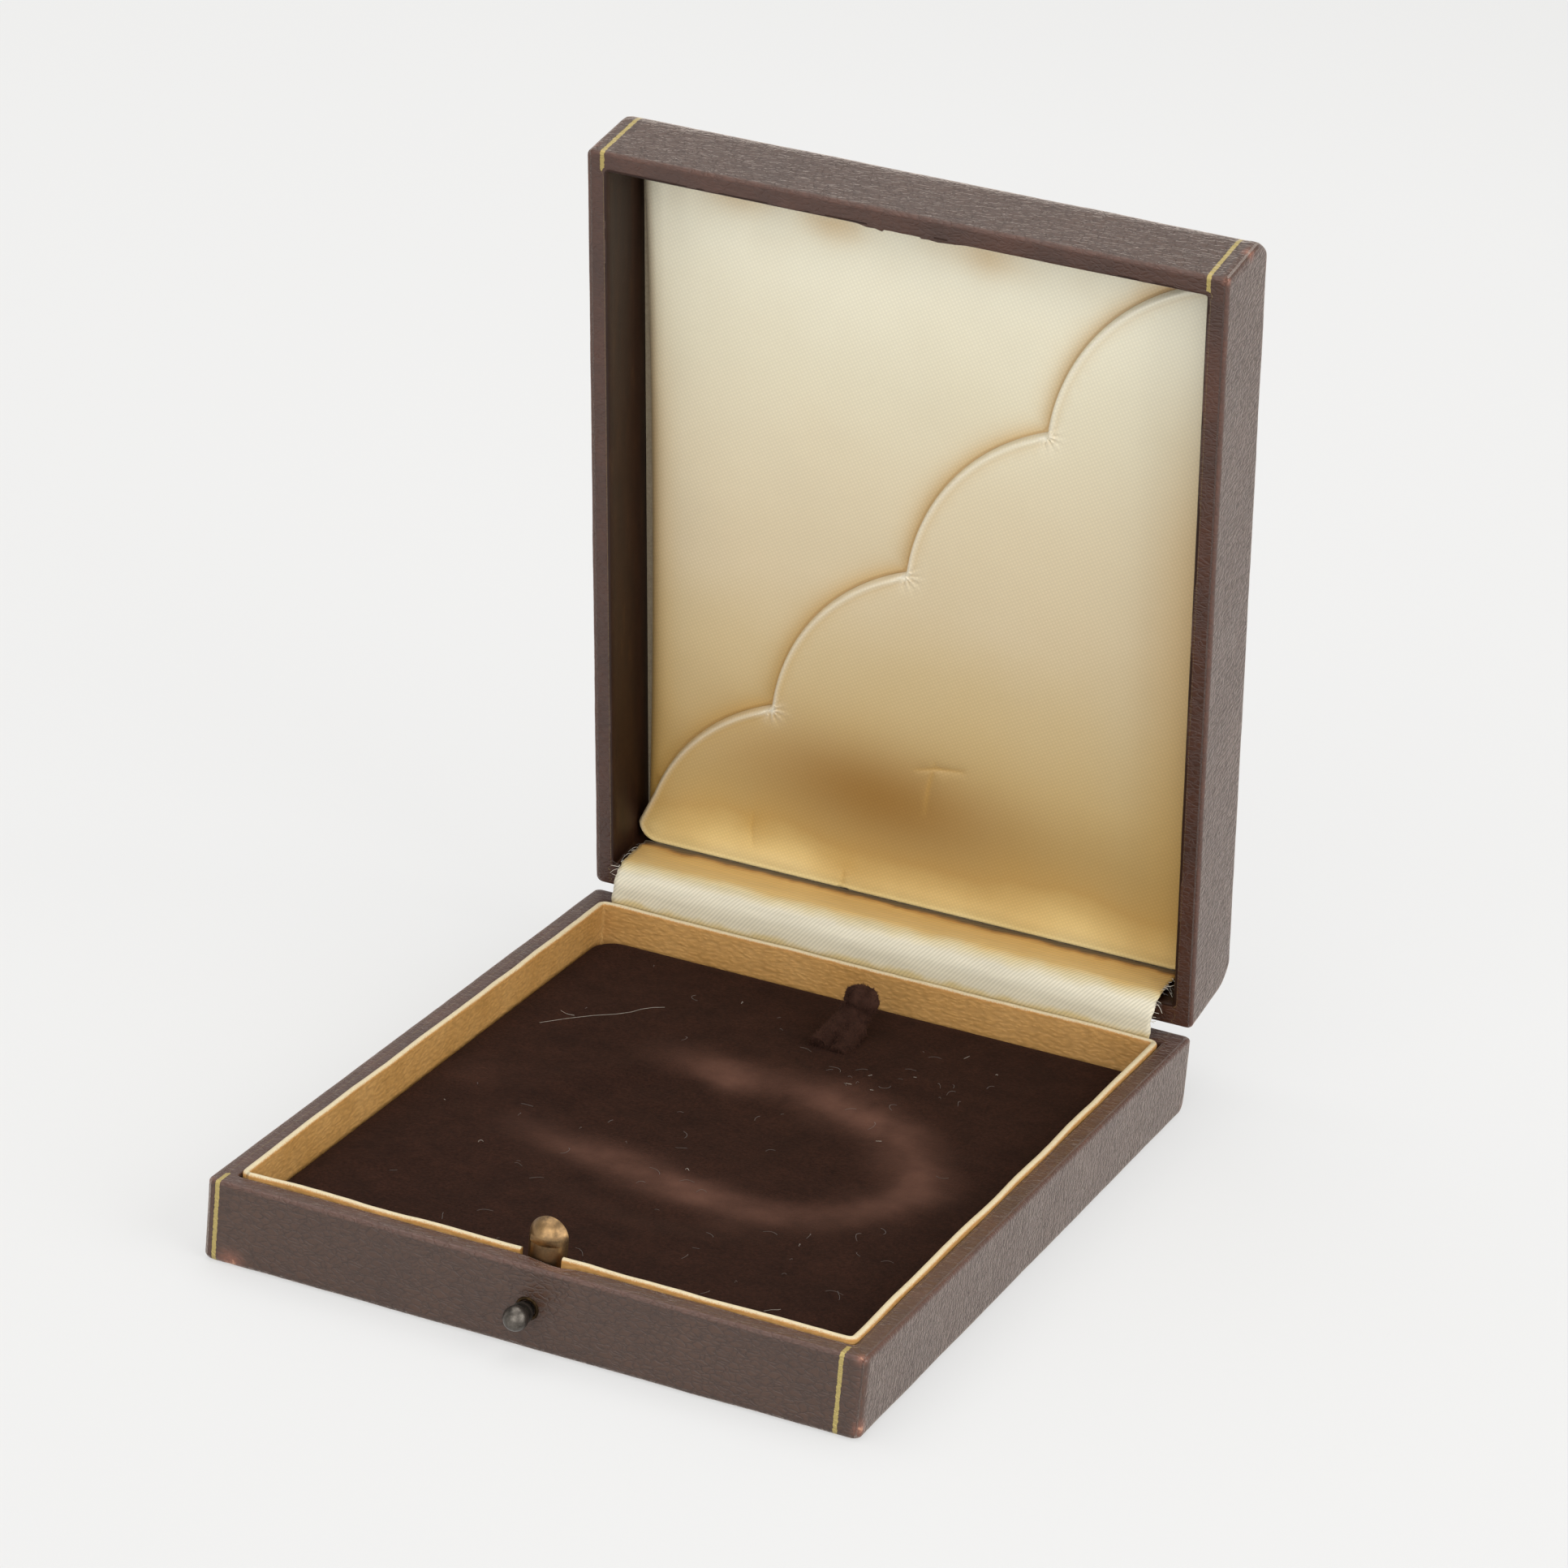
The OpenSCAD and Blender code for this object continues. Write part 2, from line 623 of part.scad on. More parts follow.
module lid_frame() color("peru") on_lid() difference() {
    lid_form(cover_t, cover_t);
    slab(box_w / 2 - cover_t - wall_t, wood_front_y, lid_wood_back_y, -over, lid_ceiling + lid_board_t);
    keeper_nail_holes();
    leaf_nail_holes(lid_wood_back_y, leaf_nail_drop);
    barrel_room(axis_y, lid_axis_z);
}

module lid_board() color("burlywood") on_lid() intersection() {
    lid_form(cover_t, cover_t);
    slab(box_w / 2 - cover_t - wall_t - seat_gap, wood_front_y + seat_gap, lid_wood_back_y - seat_gap,
        lid_ceiling, lid_h);
}

module lid_cover() color("#5a4a40") on_lid() difference() {
    lid_form(0, 0);
    lid_form(cover_t, cover_t);
    slab(box_w / 2 - cover_t - wall_t, wood_front_y, lid_wood_back_y, -over, cover_t + over);
    slab(hinge_len / 2 + seat_gap, lid_wood_back_y - over, back + over, -over, cover_t + eps);
    barrel_room(axis_y, lid_axis_z);
}

module lid_lining() color("#3c2519") on_lid() difference() {
    slab(box_w / 2 - cover_t - wall_t, wood_front_y, lid_wood_back_y, 0, lid_ceiling);
    slab(lid_half, lid_front, lid_back, -over, lid_ceiling + over);
    slab(keeper_half + seat_gap, wood_front_y - over, lid_front + over,
        keeper_low - seat_gap, keeper_low + keeper_up + seat_gap);
    slab(catch_half, lid_front - tear_depth, lid_front + over, -over, keeper_low);
    slab(hinge_len / 2 + seat_gap, lid_back - over, lid_wood_back_y + over, -over, leaf_drop + seat_gap);
}

// Satin in the lid

module satin_card() color("gray") on_lid() slab(lid_half - seat_gap, lid_front + seat_gap,
    lid_back - seat_gap, card_low, lid_ceiling);

module satin_pad() color("#ddd3b5") on_lid() rounded_slab(lid_half - seat_gap, lid_front + seat_gap,
    lid_back - seat_gap, satin_low, card_low, 1);

// Scalloped outline: everything below a slanting line, with one round bulge above it for each
// scallop. The scallop before the first one is cut off by the front and right walls.
module scallop_outline(inset) {
    start = [lid_half - scallop_start, lid_front + scallop_start];
    step = ([-lid_half, lid_back] - start) / scallops;
    chord = norm(step);
    along = step / chord;
    outward = [-along.y, along.x];
    sag = chord * scallop_bulge;
    bulge_r = (chord * chord / 4 + sag * sag) / (2 * sag);
    shift = outward * (inset - sag / 2);
    beyond = 2 * scallop_start;
    intersection() {
        union() {
            polygon([start - along * beyond + shift, start + step * scallops + along * beyond + shift,
                [lid_half + beyond, lid_back + beyond]]);
            for (i = [-1 : scallops - 1])
                translate(start + step * (i + 0.5) + outward * (sag - bulge_r))
                    circle(bulge_r - inset, $fn = 96);
        }
        rounded_plan(lid_half - inset, lid_front + inset, lid_back - inset, scallop_corner_r);
    }
}

module scallop_card() color("gray") on_lid() translate([0, 0, panel_card_low])
    linear_extrude(height = panel_card_t) scallop_outline(seat_gap + 0.4);

module scallop_panel() color("#d8c9a0") on_lid() translate([0, 0, panel_low])
    linear_extrude(height = panel_t) scallop_outline(seat_gap);

// Keeper in the lid's front wall

module keeper_plate() color("goldenrod") on_lid() difference() {
    union() {
        slab(keeper_half, wood_front_y, wood_front_y + keeper_t, keeper_low, keeper_low + keeper_up);
        slab(catch_half, wood_front_y, tongue_front + keeper_reach, keeper_low, keeper_low + keeper_t);
    }
    keeper_nail_holes();
}

module keeper_nails() color("silver") on_lid() keeper_nail_set();

base_frame();
base_board();
base_cover();
base_bottom_sheet();
tray_liner();
pad_board();
velvet_pad();
bow_post();
bow_post_wire();
catch_body();
catch_pivot_pin();
catch_tongue();
catch_spring();
catch_nails();
push_button();
button_clip();
button_bush();
hinge_leaf_base();
hinge_leaf_lid();
hinge_pin();
hinge_nails_base();
hinge_nails_lid();
hinge_ribbon();
lid_frame();
lid_board();
lid_cover();
lid_lining();
satin_card();
satin_pad();
scallop_card();
scallop_panel();
keeper_plate();
keeper_nails();
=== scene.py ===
import json
import math
import random
from functools import partial

import bmesh
import bpy
import numpy as np
from mathutils import Matrix, Vector, noise
from mathutils.geometry import delaunay_2d_cdt


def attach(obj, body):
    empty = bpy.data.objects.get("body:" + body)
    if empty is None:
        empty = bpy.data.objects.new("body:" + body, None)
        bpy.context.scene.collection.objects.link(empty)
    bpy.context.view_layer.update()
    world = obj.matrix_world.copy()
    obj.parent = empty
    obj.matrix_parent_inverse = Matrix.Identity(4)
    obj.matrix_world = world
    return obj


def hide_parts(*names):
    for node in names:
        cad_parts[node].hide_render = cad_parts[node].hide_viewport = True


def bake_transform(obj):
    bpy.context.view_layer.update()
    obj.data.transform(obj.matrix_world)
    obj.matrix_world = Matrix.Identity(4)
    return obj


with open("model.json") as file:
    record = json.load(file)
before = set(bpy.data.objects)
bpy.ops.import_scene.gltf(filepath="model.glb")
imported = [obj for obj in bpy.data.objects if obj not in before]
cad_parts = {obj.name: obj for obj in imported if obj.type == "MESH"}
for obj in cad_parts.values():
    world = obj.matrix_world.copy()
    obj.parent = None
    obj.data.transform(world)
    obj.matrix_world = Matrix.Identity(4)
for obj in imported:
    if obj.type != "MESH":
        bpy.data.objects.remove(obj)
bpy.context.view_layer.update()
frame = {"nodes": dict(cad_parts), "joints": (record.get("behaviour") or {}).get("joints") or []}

# Everything below is in millimetres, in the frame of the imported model, and turns to metres when a
# piece is made. Lid pieces are drawn shut: their z is the depth below the lid's rim.
MM = 0.001


# ---------------------------------------------------------------- places taken from the frame

def node_points(name):
    return np.array([v.co for v in frame["nodes"][name].data.vertices], float) / MM


def moved(matrix, spots):
    return np.asarray(spots, float) @ np.array(matrix.to_3x3()).T + np.array(matrix.translation)


HINGE = next(joint for joint in frame["joints"] if joint["name"] == "lid_hinge")
HINGE_AXIS = Vector(HINGE["pos_m"]) / MM
OPENED = (Matrix.Translation(HINGE_AXIS) @ Matrix.Rotation(math.radians(HINGE["range_deg"][0]), 4, "X")
          @ Matrix.Translation((0, -HINGE_AXIS.y, -HINGE_AXIS.z)))
LID_RIM_Z = moved(OPENED.inverted(), node_points("lid_cover"))[:, 2].min()
ON_LID = OPENED @ Matrix.Translation((0, 0, LID_RIM_Z))


def node_box(name, on_lid=False):
    """The lowest and highest corners of a node; a lid node is measured with the lid drawn shut."""
    spots = node_points(name)
    if on_lid:
        spots = moved(ON_LID.inverted(), spots)
    return spots.min(0), spots.max(0)


# The gap round a piece that is set into another
SEAT_GAP = 0.1


def opening_round(sheet, on_lid=False):
    """The opening that a sheet lies in, with a gap all round it."""
    low, high = node_box(sheet, on_lid)
    return low - SEAT_GAP, high + SEAT_GAP


BASE = node_box("base_cover")
LID = node_box("lid_cover", on_lid=True)
BASE_OPENING = opening_round("base_bottom_sheet")
LID_OPENING = opening_round("satin_card", on_lid=True)
# Half widths of the gaps that the hinge and the catch need in the covers and liners
HINGE_HALF = node_box("hinge_pin")[1][0] + SEAT_GAP
CATCH_HALF = 2.72


# ---------------------------------------------------------------- making a piece

def make_piece(name, spots, faces, body, finish, marks=None, sharp=50):
    """A mesh piece from points in millimetres that rides on a body and keeps marks for its finish.

    Points that no face uses are left out. The mark "flat" is the place that patterns follow."""
    used = sorted({i for face in faces for i in face})
    renumber = {old: new for new, old in enumerate(used)}
    spots = np.asarray(spots, float)
    placed = moved(ON_LID, spots[used]) if body == "lid" else spots[used]
    mesh = bpy.data.meshes.new(name)
    mesh.from_pydata((placed * MM).tolist(), [], [[renumber[i] for i in face] for face in faces])
    mesh.update()
    for mark, values in {"flat": spots, **(marks or {})}.items():
        values = np.asarray(values, np.float32)[used]
        kind, field = ("FLOAT_VECTOR", "vector") if values.ndim == 2 else ("FLOAT", "value")
        mesh.attributes.new(mark, kind, "POINT").data.foreach_set(field, values.ravel())
    mesh.shade_smooth()
    mesh.set_sharp_from_angle(angle=math.radians(sharp))
    mesh.materials.append(finish)
    piece = bpy.data.objects.new(name, mesh)
    bpy.context.scene.collection.objects.link(piece)
    if body:
        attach(piece, body)
    return piece


def thicken(piece, label, thick, offset):
    """Gives a one-sided skin its thickness: inward at offset -1, to both sides at 0."""
    skin = piece.modifiers.new(label, "SOLIDIFY")
    skin.thickness = thick * MM
    skin.offset = offset


def uneven(spots, size, amount, seed=0.0):
    """Smooth uneven shifts, one number a point, with bumps about as wide as size."""
    start = Vector((seed, 2 * seed, 3 * seed))
    return amount * np.array([noise.noise(Vector((*spot, 0.0)[:3]) / size + start) for spot in spots])


def smooth_step(low, high, value):
    part = np.clip((np.asarray(value, float) - low) / (high - low), 0, 1)
    return part * part * (3 - 2 * part)


def hump(gap, width):
    """A soft round hump: 1 where gap is 0, about a third at the width, then soon nothing."""
    return np.exp(-(gap / width) ** 2)


def gap_to(places, spot):
    return np.linalg.norm(places - np.array(spot), axis=1)


def ring_quads(rings, count, closed=False):
    """Faces between rings of count points each, the last ring joined to the first where closed."""
    return [(row * count + i, row * count + (i + 1) % count,
             (row + 1) % rings * count + (i + 1) % count, (row + 1) % rings * count + i)
            for row in range(rings if closed else rings - 1) for i in range(count)]


def stacked(rings, levels):
    """The points of flat rings, each ring at its own level."""
    return np.concatenate([np.column_stack([ring, np.full(len(ring), z)]) for ring, z in zip(rings, levels)])


def face_middles(spots, faces):
    return np.array([spots[list(face)].mean(0) for face in faces])


def add_part(spots, faces, more_spots, more_faces):
    """Adds one part's points and faces to the lists of a piece that is made of several."""
    faces += [tuple(i + len(spots) for i in face) for face in more_faces]
    spots += more_spots


def round_corner(low, high, number, radius, steps):
    """Points round one corner of a rectangle, counter-clockwise. Corner 0 is the front right one."""
    x = high[0] - radius if number in (0, 1) else low[0] + radius
    y = low[1] + radius if number in (0, 3) else high[1] - radius
    angles = np.radians(np.linspace(90 * (number - 1), 90 * number, steps + 1))
    return [(x + radius * math.cos(a), y + radius * math.sin(a)) for a in angles]


# The even stretch in the middle of each side is the same for every ring of the box, so that rings
# of different size join without a twist.
EVEN_HALF_X = 34
EVEN_HALF_Y = 44
EVEN_SHARE = 1.7
NEAR_END = np.array([0, 0.05, 0.12, 0.22, 0.36, 0.55, 0.78])
CORNER_STEPS = 5
CORNER_REACH = 0.8


def side_places(low_end, high_end, half, keep):
    even = np.linspace(-half, half, int(half * EVEN_SHARE))
    middle = sorted(set(even) | {p for x in keep for p in (-x, x)})
    return np.concatenate([low_end + (-half - low_end) * NEAR_END, middle,
                           (high_end + (half - high_end) * NEAR_END)[::-1]])


def rounded_ring(low, high, radius):
    """A rounded rectangle, counter-clockwise from the front left, and how near each point is to a corner."""
    spots, nearness = [], []
    across = side_places(low[0] + radius, high[0] - radius, EVEN_HALF_X, (CATCH_HALF, HINGE_HALF))
    along = side_places(low[1] + radius, high[1] - radius, EVEN_HALF_Y, ())
    sides = ([(x, low[1]) for x in across], [(high[0], y) for y in along],
             [(x, high[1]) for x in across[::-1]], [(low[0], y) for y in along[::-1]])
    for number, side in enumerate(sides):
        line = np.array(side)
        gap = np.minimum(gap_to(line, line[0]), gap_to(line, line[-1]))
        bend = round_corner(low, high, number, radius, CORNER_STEPS)[1:-1]
        spots += side + bend
        nearness += [*hump(gap, CORNER_REACH)] + [1.0] * len(bend)
    return np.array(spots), np.array(nearness)


def wall_rings(low, high, corner, least, section):
    """Rings round a box that follow an upright section of (inset from the box, height)."""
    rings = [rounded_ring(low[:2] + inset, high[:2] - inset, max(corner - inset, least))[0]
             for inset, _ in section]
    return rings, stacked(rings, [z for _, z in section])


# ---------------------------------------------------------------- finishes

def linear(colour):
    """An sRGB hex colour as the linear RGBA that Blender's sockets hold."""
    parts = [int(colour[i:i + 2], 16) / 255 for i in (1, 3, 5)]
    return [p / 12.92 if p <= 0.04045 else ((p + 0.055) / 1.055) ** 2.4 for p in parts] + [1.0]


def put_node(tree, kind, sockets=None, stops=(), **options):
    """Adds a node with its options, its ramp's stops and its sockets: a value is set, an output is linked."""
    node = tree.nodes.new("ShaderNode" + kind)
    for option, value in options.items():
        setattr(node, option, value)
    for number, (spot, colour) in enumerate(stops):
        marks = node.color_ramp.elements
        mark = marks[number] if number < 2 else marks.new(spot)
        mark.position = spot
        mark.color = linear(colour) if isinstance(colour, str) else (colour, colour, colour, 1)
    for socket, value in (sockets or {}).items():
        if isinstance(value, bpy.types.NodeSocket):
            tree.links.new(value, node.inputs[socket])
        else:
            node.inputs[socket].default_value = value
    return node.outputs


def emptied(owner):
    """Empties the node tree of a material or world, and gives the call that puts a node into it."""
    owner.use_nodes = True
    owner.node_tree.nodes.clear()
    return partial(put_node, owner.node_tree)


def new_finish(name, flat=True):
    """A new material, the call that puts a node into it, and the place in millimetres that it follows.

    The place is the piece's own mark "flat", or where the point is on a node that keeps its shape."""
    finish = bpy.data.materials.new(name)
    put = emptied(finish)
    if flat:
        return finish, put, put("Attribute", attribute_name="flat")["Vector"]
    solid = put("TexCoord")["Object"]
    return finish, put, put("VectorMath", {0: solid, "Scale": 1 / MM}, operation="SCALE")[0]


# Width of a pebble in the leatherette's grain
PEBBLE = 0.7


def leatherette():
    """Calf-grain leatherette, dyed, plate-embossed and waxed: pebbles 0.7 mm wide, drawn out to 1.3 mm
    along the front and up the sides, dark red-brown between them, with waxed tops that turn grey where
    they mirror a pale room. Its core shows pink-tan where a corner is rubbed through."""
    finish, put, place = new_finish("embossed_leatherette")
    drawn = put("Mapping", {"Vector": place, "Scale": (0.55, 1.0, 1.0)})[0]
    bend = put("TexNoise", {"Vector": drawn, "Scale": 0.9, "Detail": 2.0})["Color"]
    bent = put("VectorMath", {0: bend, 1: (1.3, 1.3, 1.3), 2: drawn}, operation="MULTIPLY_ADD")[0]
    crease = put("TexVoronoi", {"Vector": bent, "Scale": 1 / PEBBLE}, feature="DISTANCE_TO_EDGE")["Distance"]
    swell = put("TexNoise", {"Vector": drawn, "Scale": 1.3, "Detail": 3.0, "Roughness": 0.6})["Fac"]
    uneven_crease = put("Math", {0: swell, 1: 0.28, 2: crease}, operation="MULTIPLY_ADD")[0]
    pebble = put("ValToRGB", {0: uneven_crease}, [(0.12, 0.15), (0.2, 0.6), (0.38, 1.0)])["Color"]
    fine = put("TexNoise", {"Vector": place, "Scale": 5.0, "Detail": 3.0})["Fac"]
    broad = put("TexNoise", {"Vector": place, "Scale": 0.09, "Detail": 5.0, "Roughness": 0.65})["Fac"]
    rim = put("Attribute", attribute_name="rim")["Fac"]
    dyed = put("ValToRGB", {0: broad}, [(0.3, "#3c2518"), (0.7, "#472e1f")])["Color"]
    pitted = put("Mix", {0: pebble, 6: linear("#301d13"), 7: dyed}, data_type="RGBA")[2]
    # Painted light: the rims take a redder copy of the same dye, matched to how they look where they mirror
    # the dim part of the room.
    rim_painted_tone = put("ValToRGB", {0: broad}, [(0.35, "#3b2218"), (0.65, "#4d2b1d")])["Color"]
    rim_share = put("Math", {0: rim, 1: 0.7}, operation="MULTIPLY")[0]
    tone = put("Mix", {0: rim_share, 6: pitted, 7: rim_painted_tone}, data_type="RGBA")[2]

    rubbed = put("Attribute", attribute_name="rubbed")["Fac"]
    patches = put("TexNoise", {"Vector": place, "Scale": 1.5, "Detail": 6.0, "Roughness": 0.75})["Fac"]
    rub = put("Math", {0: rubbed, 1: patches}, operation="MULTIPLY")[0]
    scuffed = put("MapRange", {0: rub, 1: 0.08, 2: 0.45, 4: 0.9})[0]
    bared = put("MapRange", {0: rub, 1: 0.4, 2: 0.55})[0]
    from_line = put("Math", {0: put("Attribute", attribute_name="line")["Fac"]}, operation="ABSOLUTE")[0]
    flaking = put("TexNoise", {"Vector": place, "Scale": 2.2, "Detail": 4.0, "Roughness": 0.7})["Fac"]
    line_edge = put("Math", {0: flaking, 1: 0.45, 2: 0.06}, operation="MULTIPLY_ADD")[0]
    tooled = put("Math", {0: from_line, 1: line_edge}, operation="LESS_THAN")[0]
    from_lap = put("Math", {0: put("Attribute", attribute_name="lap")["Fac"]}, operation="ABSOLUTE")[0]
    lapped = put("MapRange", {0: from_lap, 1: 0.06, 2: 0.22, 3: 0.75, 4: 0.0})[0]
    for share, colour in ((scuffed, "#7d4f3d"), (bared, "#c08c6e"), (tooled, "#aa985c"), (lapped, "#2c1b15")):
        tone = put("Mix", {0: share, 6: tone, 7: linear(colour)}, data_type="RGBA")[2]

    grain_depth = put("MapRange", {0: rim, 3: 1.0, 4: 0.8})[0]
    raised = put("Math", {0: pebble, 1: grain_depth}, operation="MULTIPLY")[0]
    height = put("Math", {0: fine, 1: 0.2, 2: raised}, operation="MULTIPLY_ADD")[0]
    grain = put("Bump", {"Height": height, "Distance": 0.09 * MM, "Strength": 0.75})[0]
    gloss = put("ValToRGB", {0: pebble}, [(0.0, 0.6), (1.0, 0.38)])["Color"]
    gilt = put("Math", {0: tooled, 1: 0.5}, operation="MULTIPLY")[0]
    waxed = put("MapRange", {0: rim, 3: 1.0, 4: 0.5})[0]
    put("OutputMaterial", {"Surface": put("BsdfPrincipled", {
        "Base Color": tone, "Roughness": gloss, "Metallic": gilt, "Normal": grain, "IOR": 1.5,
        "Specular IOR Level": 0.65, "Sheen Weight": waxed, "Sheen Roughness": 0.2,
        "Sheen Tint": linear("#fff0e4")})["BSDF"]})
    return finish


# Width of a dash in the liner paper before it is drawn out
DASH = 0.62


def embossed_paper():
    """Tan paper pasted over card and rolled with slanting dashes 0.4 mm deep and 0.9 mm long, its upper
    edge rubbed pale over a worn orange line. The mark "flat" runs round the wall, so the dashes turn its
    corners."""
    finish, put, place = new_finish("embossed_liner_paper")
    slant = math.radians(14)
    slanted = put("Mapping", {"Vector": place, "Rotation": (0, 0, slant), "Scale": (0.7, 1.5, 1)})[0]
    bend = put("TexNoise", {"Vector": slanted, "Scale": 0.9, "Detail": 2.0})["Color"]
    bent = put("VectorMath", {0: bend, 1: (0.7, 0.7, 0.7), 2: slanted}, operation="MULTIPLY_ADD")[0]
    dashes = put("TexVoronoi", {"Vector": bent, "Scale": 1 / DASH}, feature="SMOOTH_F1")["Distance"]
    broad = put("TexNoise", {"Vector": place, "Scale": 0.12, "Detail": 4.0})["Fac"]
    fine = put("TexNoise", {"Vector": place, "Scale": 6.0, "Detail": 3.0})["Fac"]
    drop = put("Attribute", attribute_name="drop")["Fac"]
    paper = put("ValToRGB", {0: broad}, [(0.3, "#b6884a"), (0.7, "#c4975a")])["Color"]
    dusky = put("ValToRGB", {0: dashes}, [(0.2, 1.0), (0.7, 0.78)])["Color"]
    shaded = put("Mix", {0: 1.0, 6: paper, 7: dusky}, data_type="RGBA", blend_type="MULTIPLY")[2]
    jagged = put("Math", {0: fine, 1: 0.5, 2: drop}, operation="MULTIPLY_ADD")[0]
    below = put("MapRange", {0: jagged, 1: 0.0, 2: 3.0})[0]
    band = put("ValToRGB", {0: below}, [(0.13, 1.0), (0.2, 0.5), (0.36, 0.0)])["Color"]
    edge_tone = put("ValToRGB", {0: band}, [(0.0, "#c4975a"), (0.5, "#b57a33"), (1.0, "#cbbd9c")])["Color"]
    tone = put("Mix", {0: band, 6: shaded, 7: edge_tone}, data_type="RGBA")[2]
    fuzz = put("Math", {0: fine, 1: 0.3}, operation="MULTIPLY")[0]
    relief = put("Math", {0: dashes, 1: -1.0, 2: fuzz}, operation="MULTIPLY_ADD")[0]
    emboss = put("Bump", {"Height": relief, "Distance": 0.12 * MM, "Strength": 0.8})[0]
    put("OutputMaterial", {"Surface": put("BsdfPrincipled", {
        "Base Color": tone, "Roughness": 0.5, "Normal": emboss, "IOR": 1.5,
        "Specular IOR Level": 0.35})["BSDF"]})
    return finish


def velvet():
    """Cut-pile cotton velvet, dyed dark brown: nearly black face on, speckled every 0.4 mm where its pile
    parts. Where a watch has pressed the pile over, a soft reddish bloom is painted in as the sheen of the
    crushed pile."""
    finish, put, place = new_finish("cotton_velvet")
    pile = put("TexNoise", {"Vector": place, "Scale": 2.6, "Detail": 4.0, "Roughness": 0.8})["Fac"]
    brushed = put("TexNoise", {"Vector": place, "Scale": 0.16, "Detail": 6.0, "Roughness": 0.65})["Fac"]
    pressed = put("Attribute", attribute_name="pressed")["Fac"]
    dyed = put("ValToRGB", {0: brushed}, [(0.3, "#1e0f09"), (0.7, "#2c1810")])["Color"]
    speckle = put("ValToRGB", {0: pile}, [(0.36, 0.4), (0.66, 1.4)])["Color"]
    piled = put("Mix", {0: 1.0, 6: dyed, 7: speckle}, data_type="RGBA", blend_type="MULTIPLY")[2]
    parted = put("Math", {0: brushed, 1: 0.5}, operation="SUBTRACT")[0]
    streaked = put("Math", {0: parted, 1: 1.4, 2: 1.0}, operation="MULTIPLY_ADD")[0]
    # Painted sheen: the pressed ring is lighter where its crushed pile would catch the light.
    bloom = put("Math", {0: pressed, 1: streaked}, operation="MULTIPLY")[0]
    tone = put("Mix", {0: bloom, 6: piled, 7: linear("#604338")}, data_type="RGBA")[2]
    nap = put("Bump", {"Height": pile, "Distance": 0.15 * MM, "Strength": 0.8})[0]
    put("OutputMaterial", {"Surface": put("BsdfPrincipled", {
        "Base Color": tone, "Roughness": 0.95, "Normal": nap, "Specular IOR Level": 0.1,
        "Sheen Weight": 0.3, "Sheen Roughness": 0.4, "Sheen Tint": linear("#6d4a3a")})["BSDF"]})
    return finish


# Drawn widths of the weaves. Blender's wave texture draws this many waves where its scale is 1
SATIN_WEAVE = 0.48
RIBBON_TWILL = 0.45
WAVES_PER_SCALE = 20 / math.tau


def lid_satin():
    """Ivory silk-faced satin, with painted light in its colour: its own cream at the top where it faces the
    light, gold lower down as a painted reflection of the dark tray, and brown painted shade in the crease
    beside the panel. Its slanting weave is really 0.25 mm fine and is drawn 0.48 mm wide so that it shows."""
    finish, put, place = new_finish("ivory_satin")
    broad = put("TexNoise", {"Vector": place, "Scale": 0.05, "Detail": 3.0})["Fac"]
    down = put("SeparateXYZ", {0: place})["Y"]
    wavy = put("Math", {0: broad, 1: 12.0, 2: down}, operation="MULTIPLY_ADD")[0]
    fall = put("MapRange", {0: wavy, 1: -47.0, 2: 59.0})[0]
    # Painted light down the lid: the satin's own cream at the top, then gold as a painted reflection of the
    # dark tray, brightest at the bottom edge.
    tone = put("ValToRGB", {0: fall}, [
        (0.1, "#e6e0c9"), (0.25, "#ddd4b9"), (0.4, "#d8caab"), (0.55, "#d4c29f"), (0.66, "#cfb98e"),
        (0.78, "#cdb27e"), (0.86, "#c5a76e"), (0.92, "#c8a464"), (0.95, "#d9b978"), (0.98, "#eed290"),
        (1.0, "#f8dfa0")])["Color"]
    # The first mark is a painted reflection of the dark tray, the next two painted shade beside the panel and
    # in the crease along its edge, and the last a painted highlight on the panel's bead.
    for mark, colour in (("reflected_tray", "#9c7238"), ("shade", "#c79c52"), ("crease", "#96672c"),
                         ("painted_highlight", "#efe7d3")):
        share = put("Attribute", attribute_name=mark)["Fac"]
        tone = put("Mix", {0: share, 6: tone, 7: linear(colour)}, data_type="RGBA")[2]
    rows = []
    for slant in (28, -58):
        turned = put("Mapping", {"Vector": place, "Rotation": (0, 0, math.radians(slant))})[0]
        rows.append(put("TexWave", {"Vector": turned, "Scale": 1 / WAVES_PER_SCALE / SATIN_WEAVE,
                                    "Distortion": 0.5, "Detail": 1.0, "Detail Scale": 0.6})["Fac"])
    weave = put("Math", {0: rows[0], 1: rows[1]}, operation="MULTIPLY")[0]
    woven = put("ValToRGB", {0: weave}, [(0.0, 0.92), (0.6, 1.0)])["Color"]
    tone = put("Mix", {0: 1.0, 6: tone, 7: woven}, data_type="RGBA", blend_type="MULTIPLY")[2]
    relief = put("Bump", {"Height": weave, "Distance": 0.03 * MM, "Strength": 0.5})[0]
    put("OutputMaterial", {"Surface": put("BsdfPrincipled", {
        "Base Color": tone, "Roughness": 0.4, "Normal": relief, "IOR": 1.5, "Specular IOR Level": 0.4,
        "Anisotropic": 0.4, "Sheen Weight": 0.12, "Sheen Roughness": 0.3,
        "Sheen Tint": linear("#fff0cf")})["BSDF"]})
    return finish


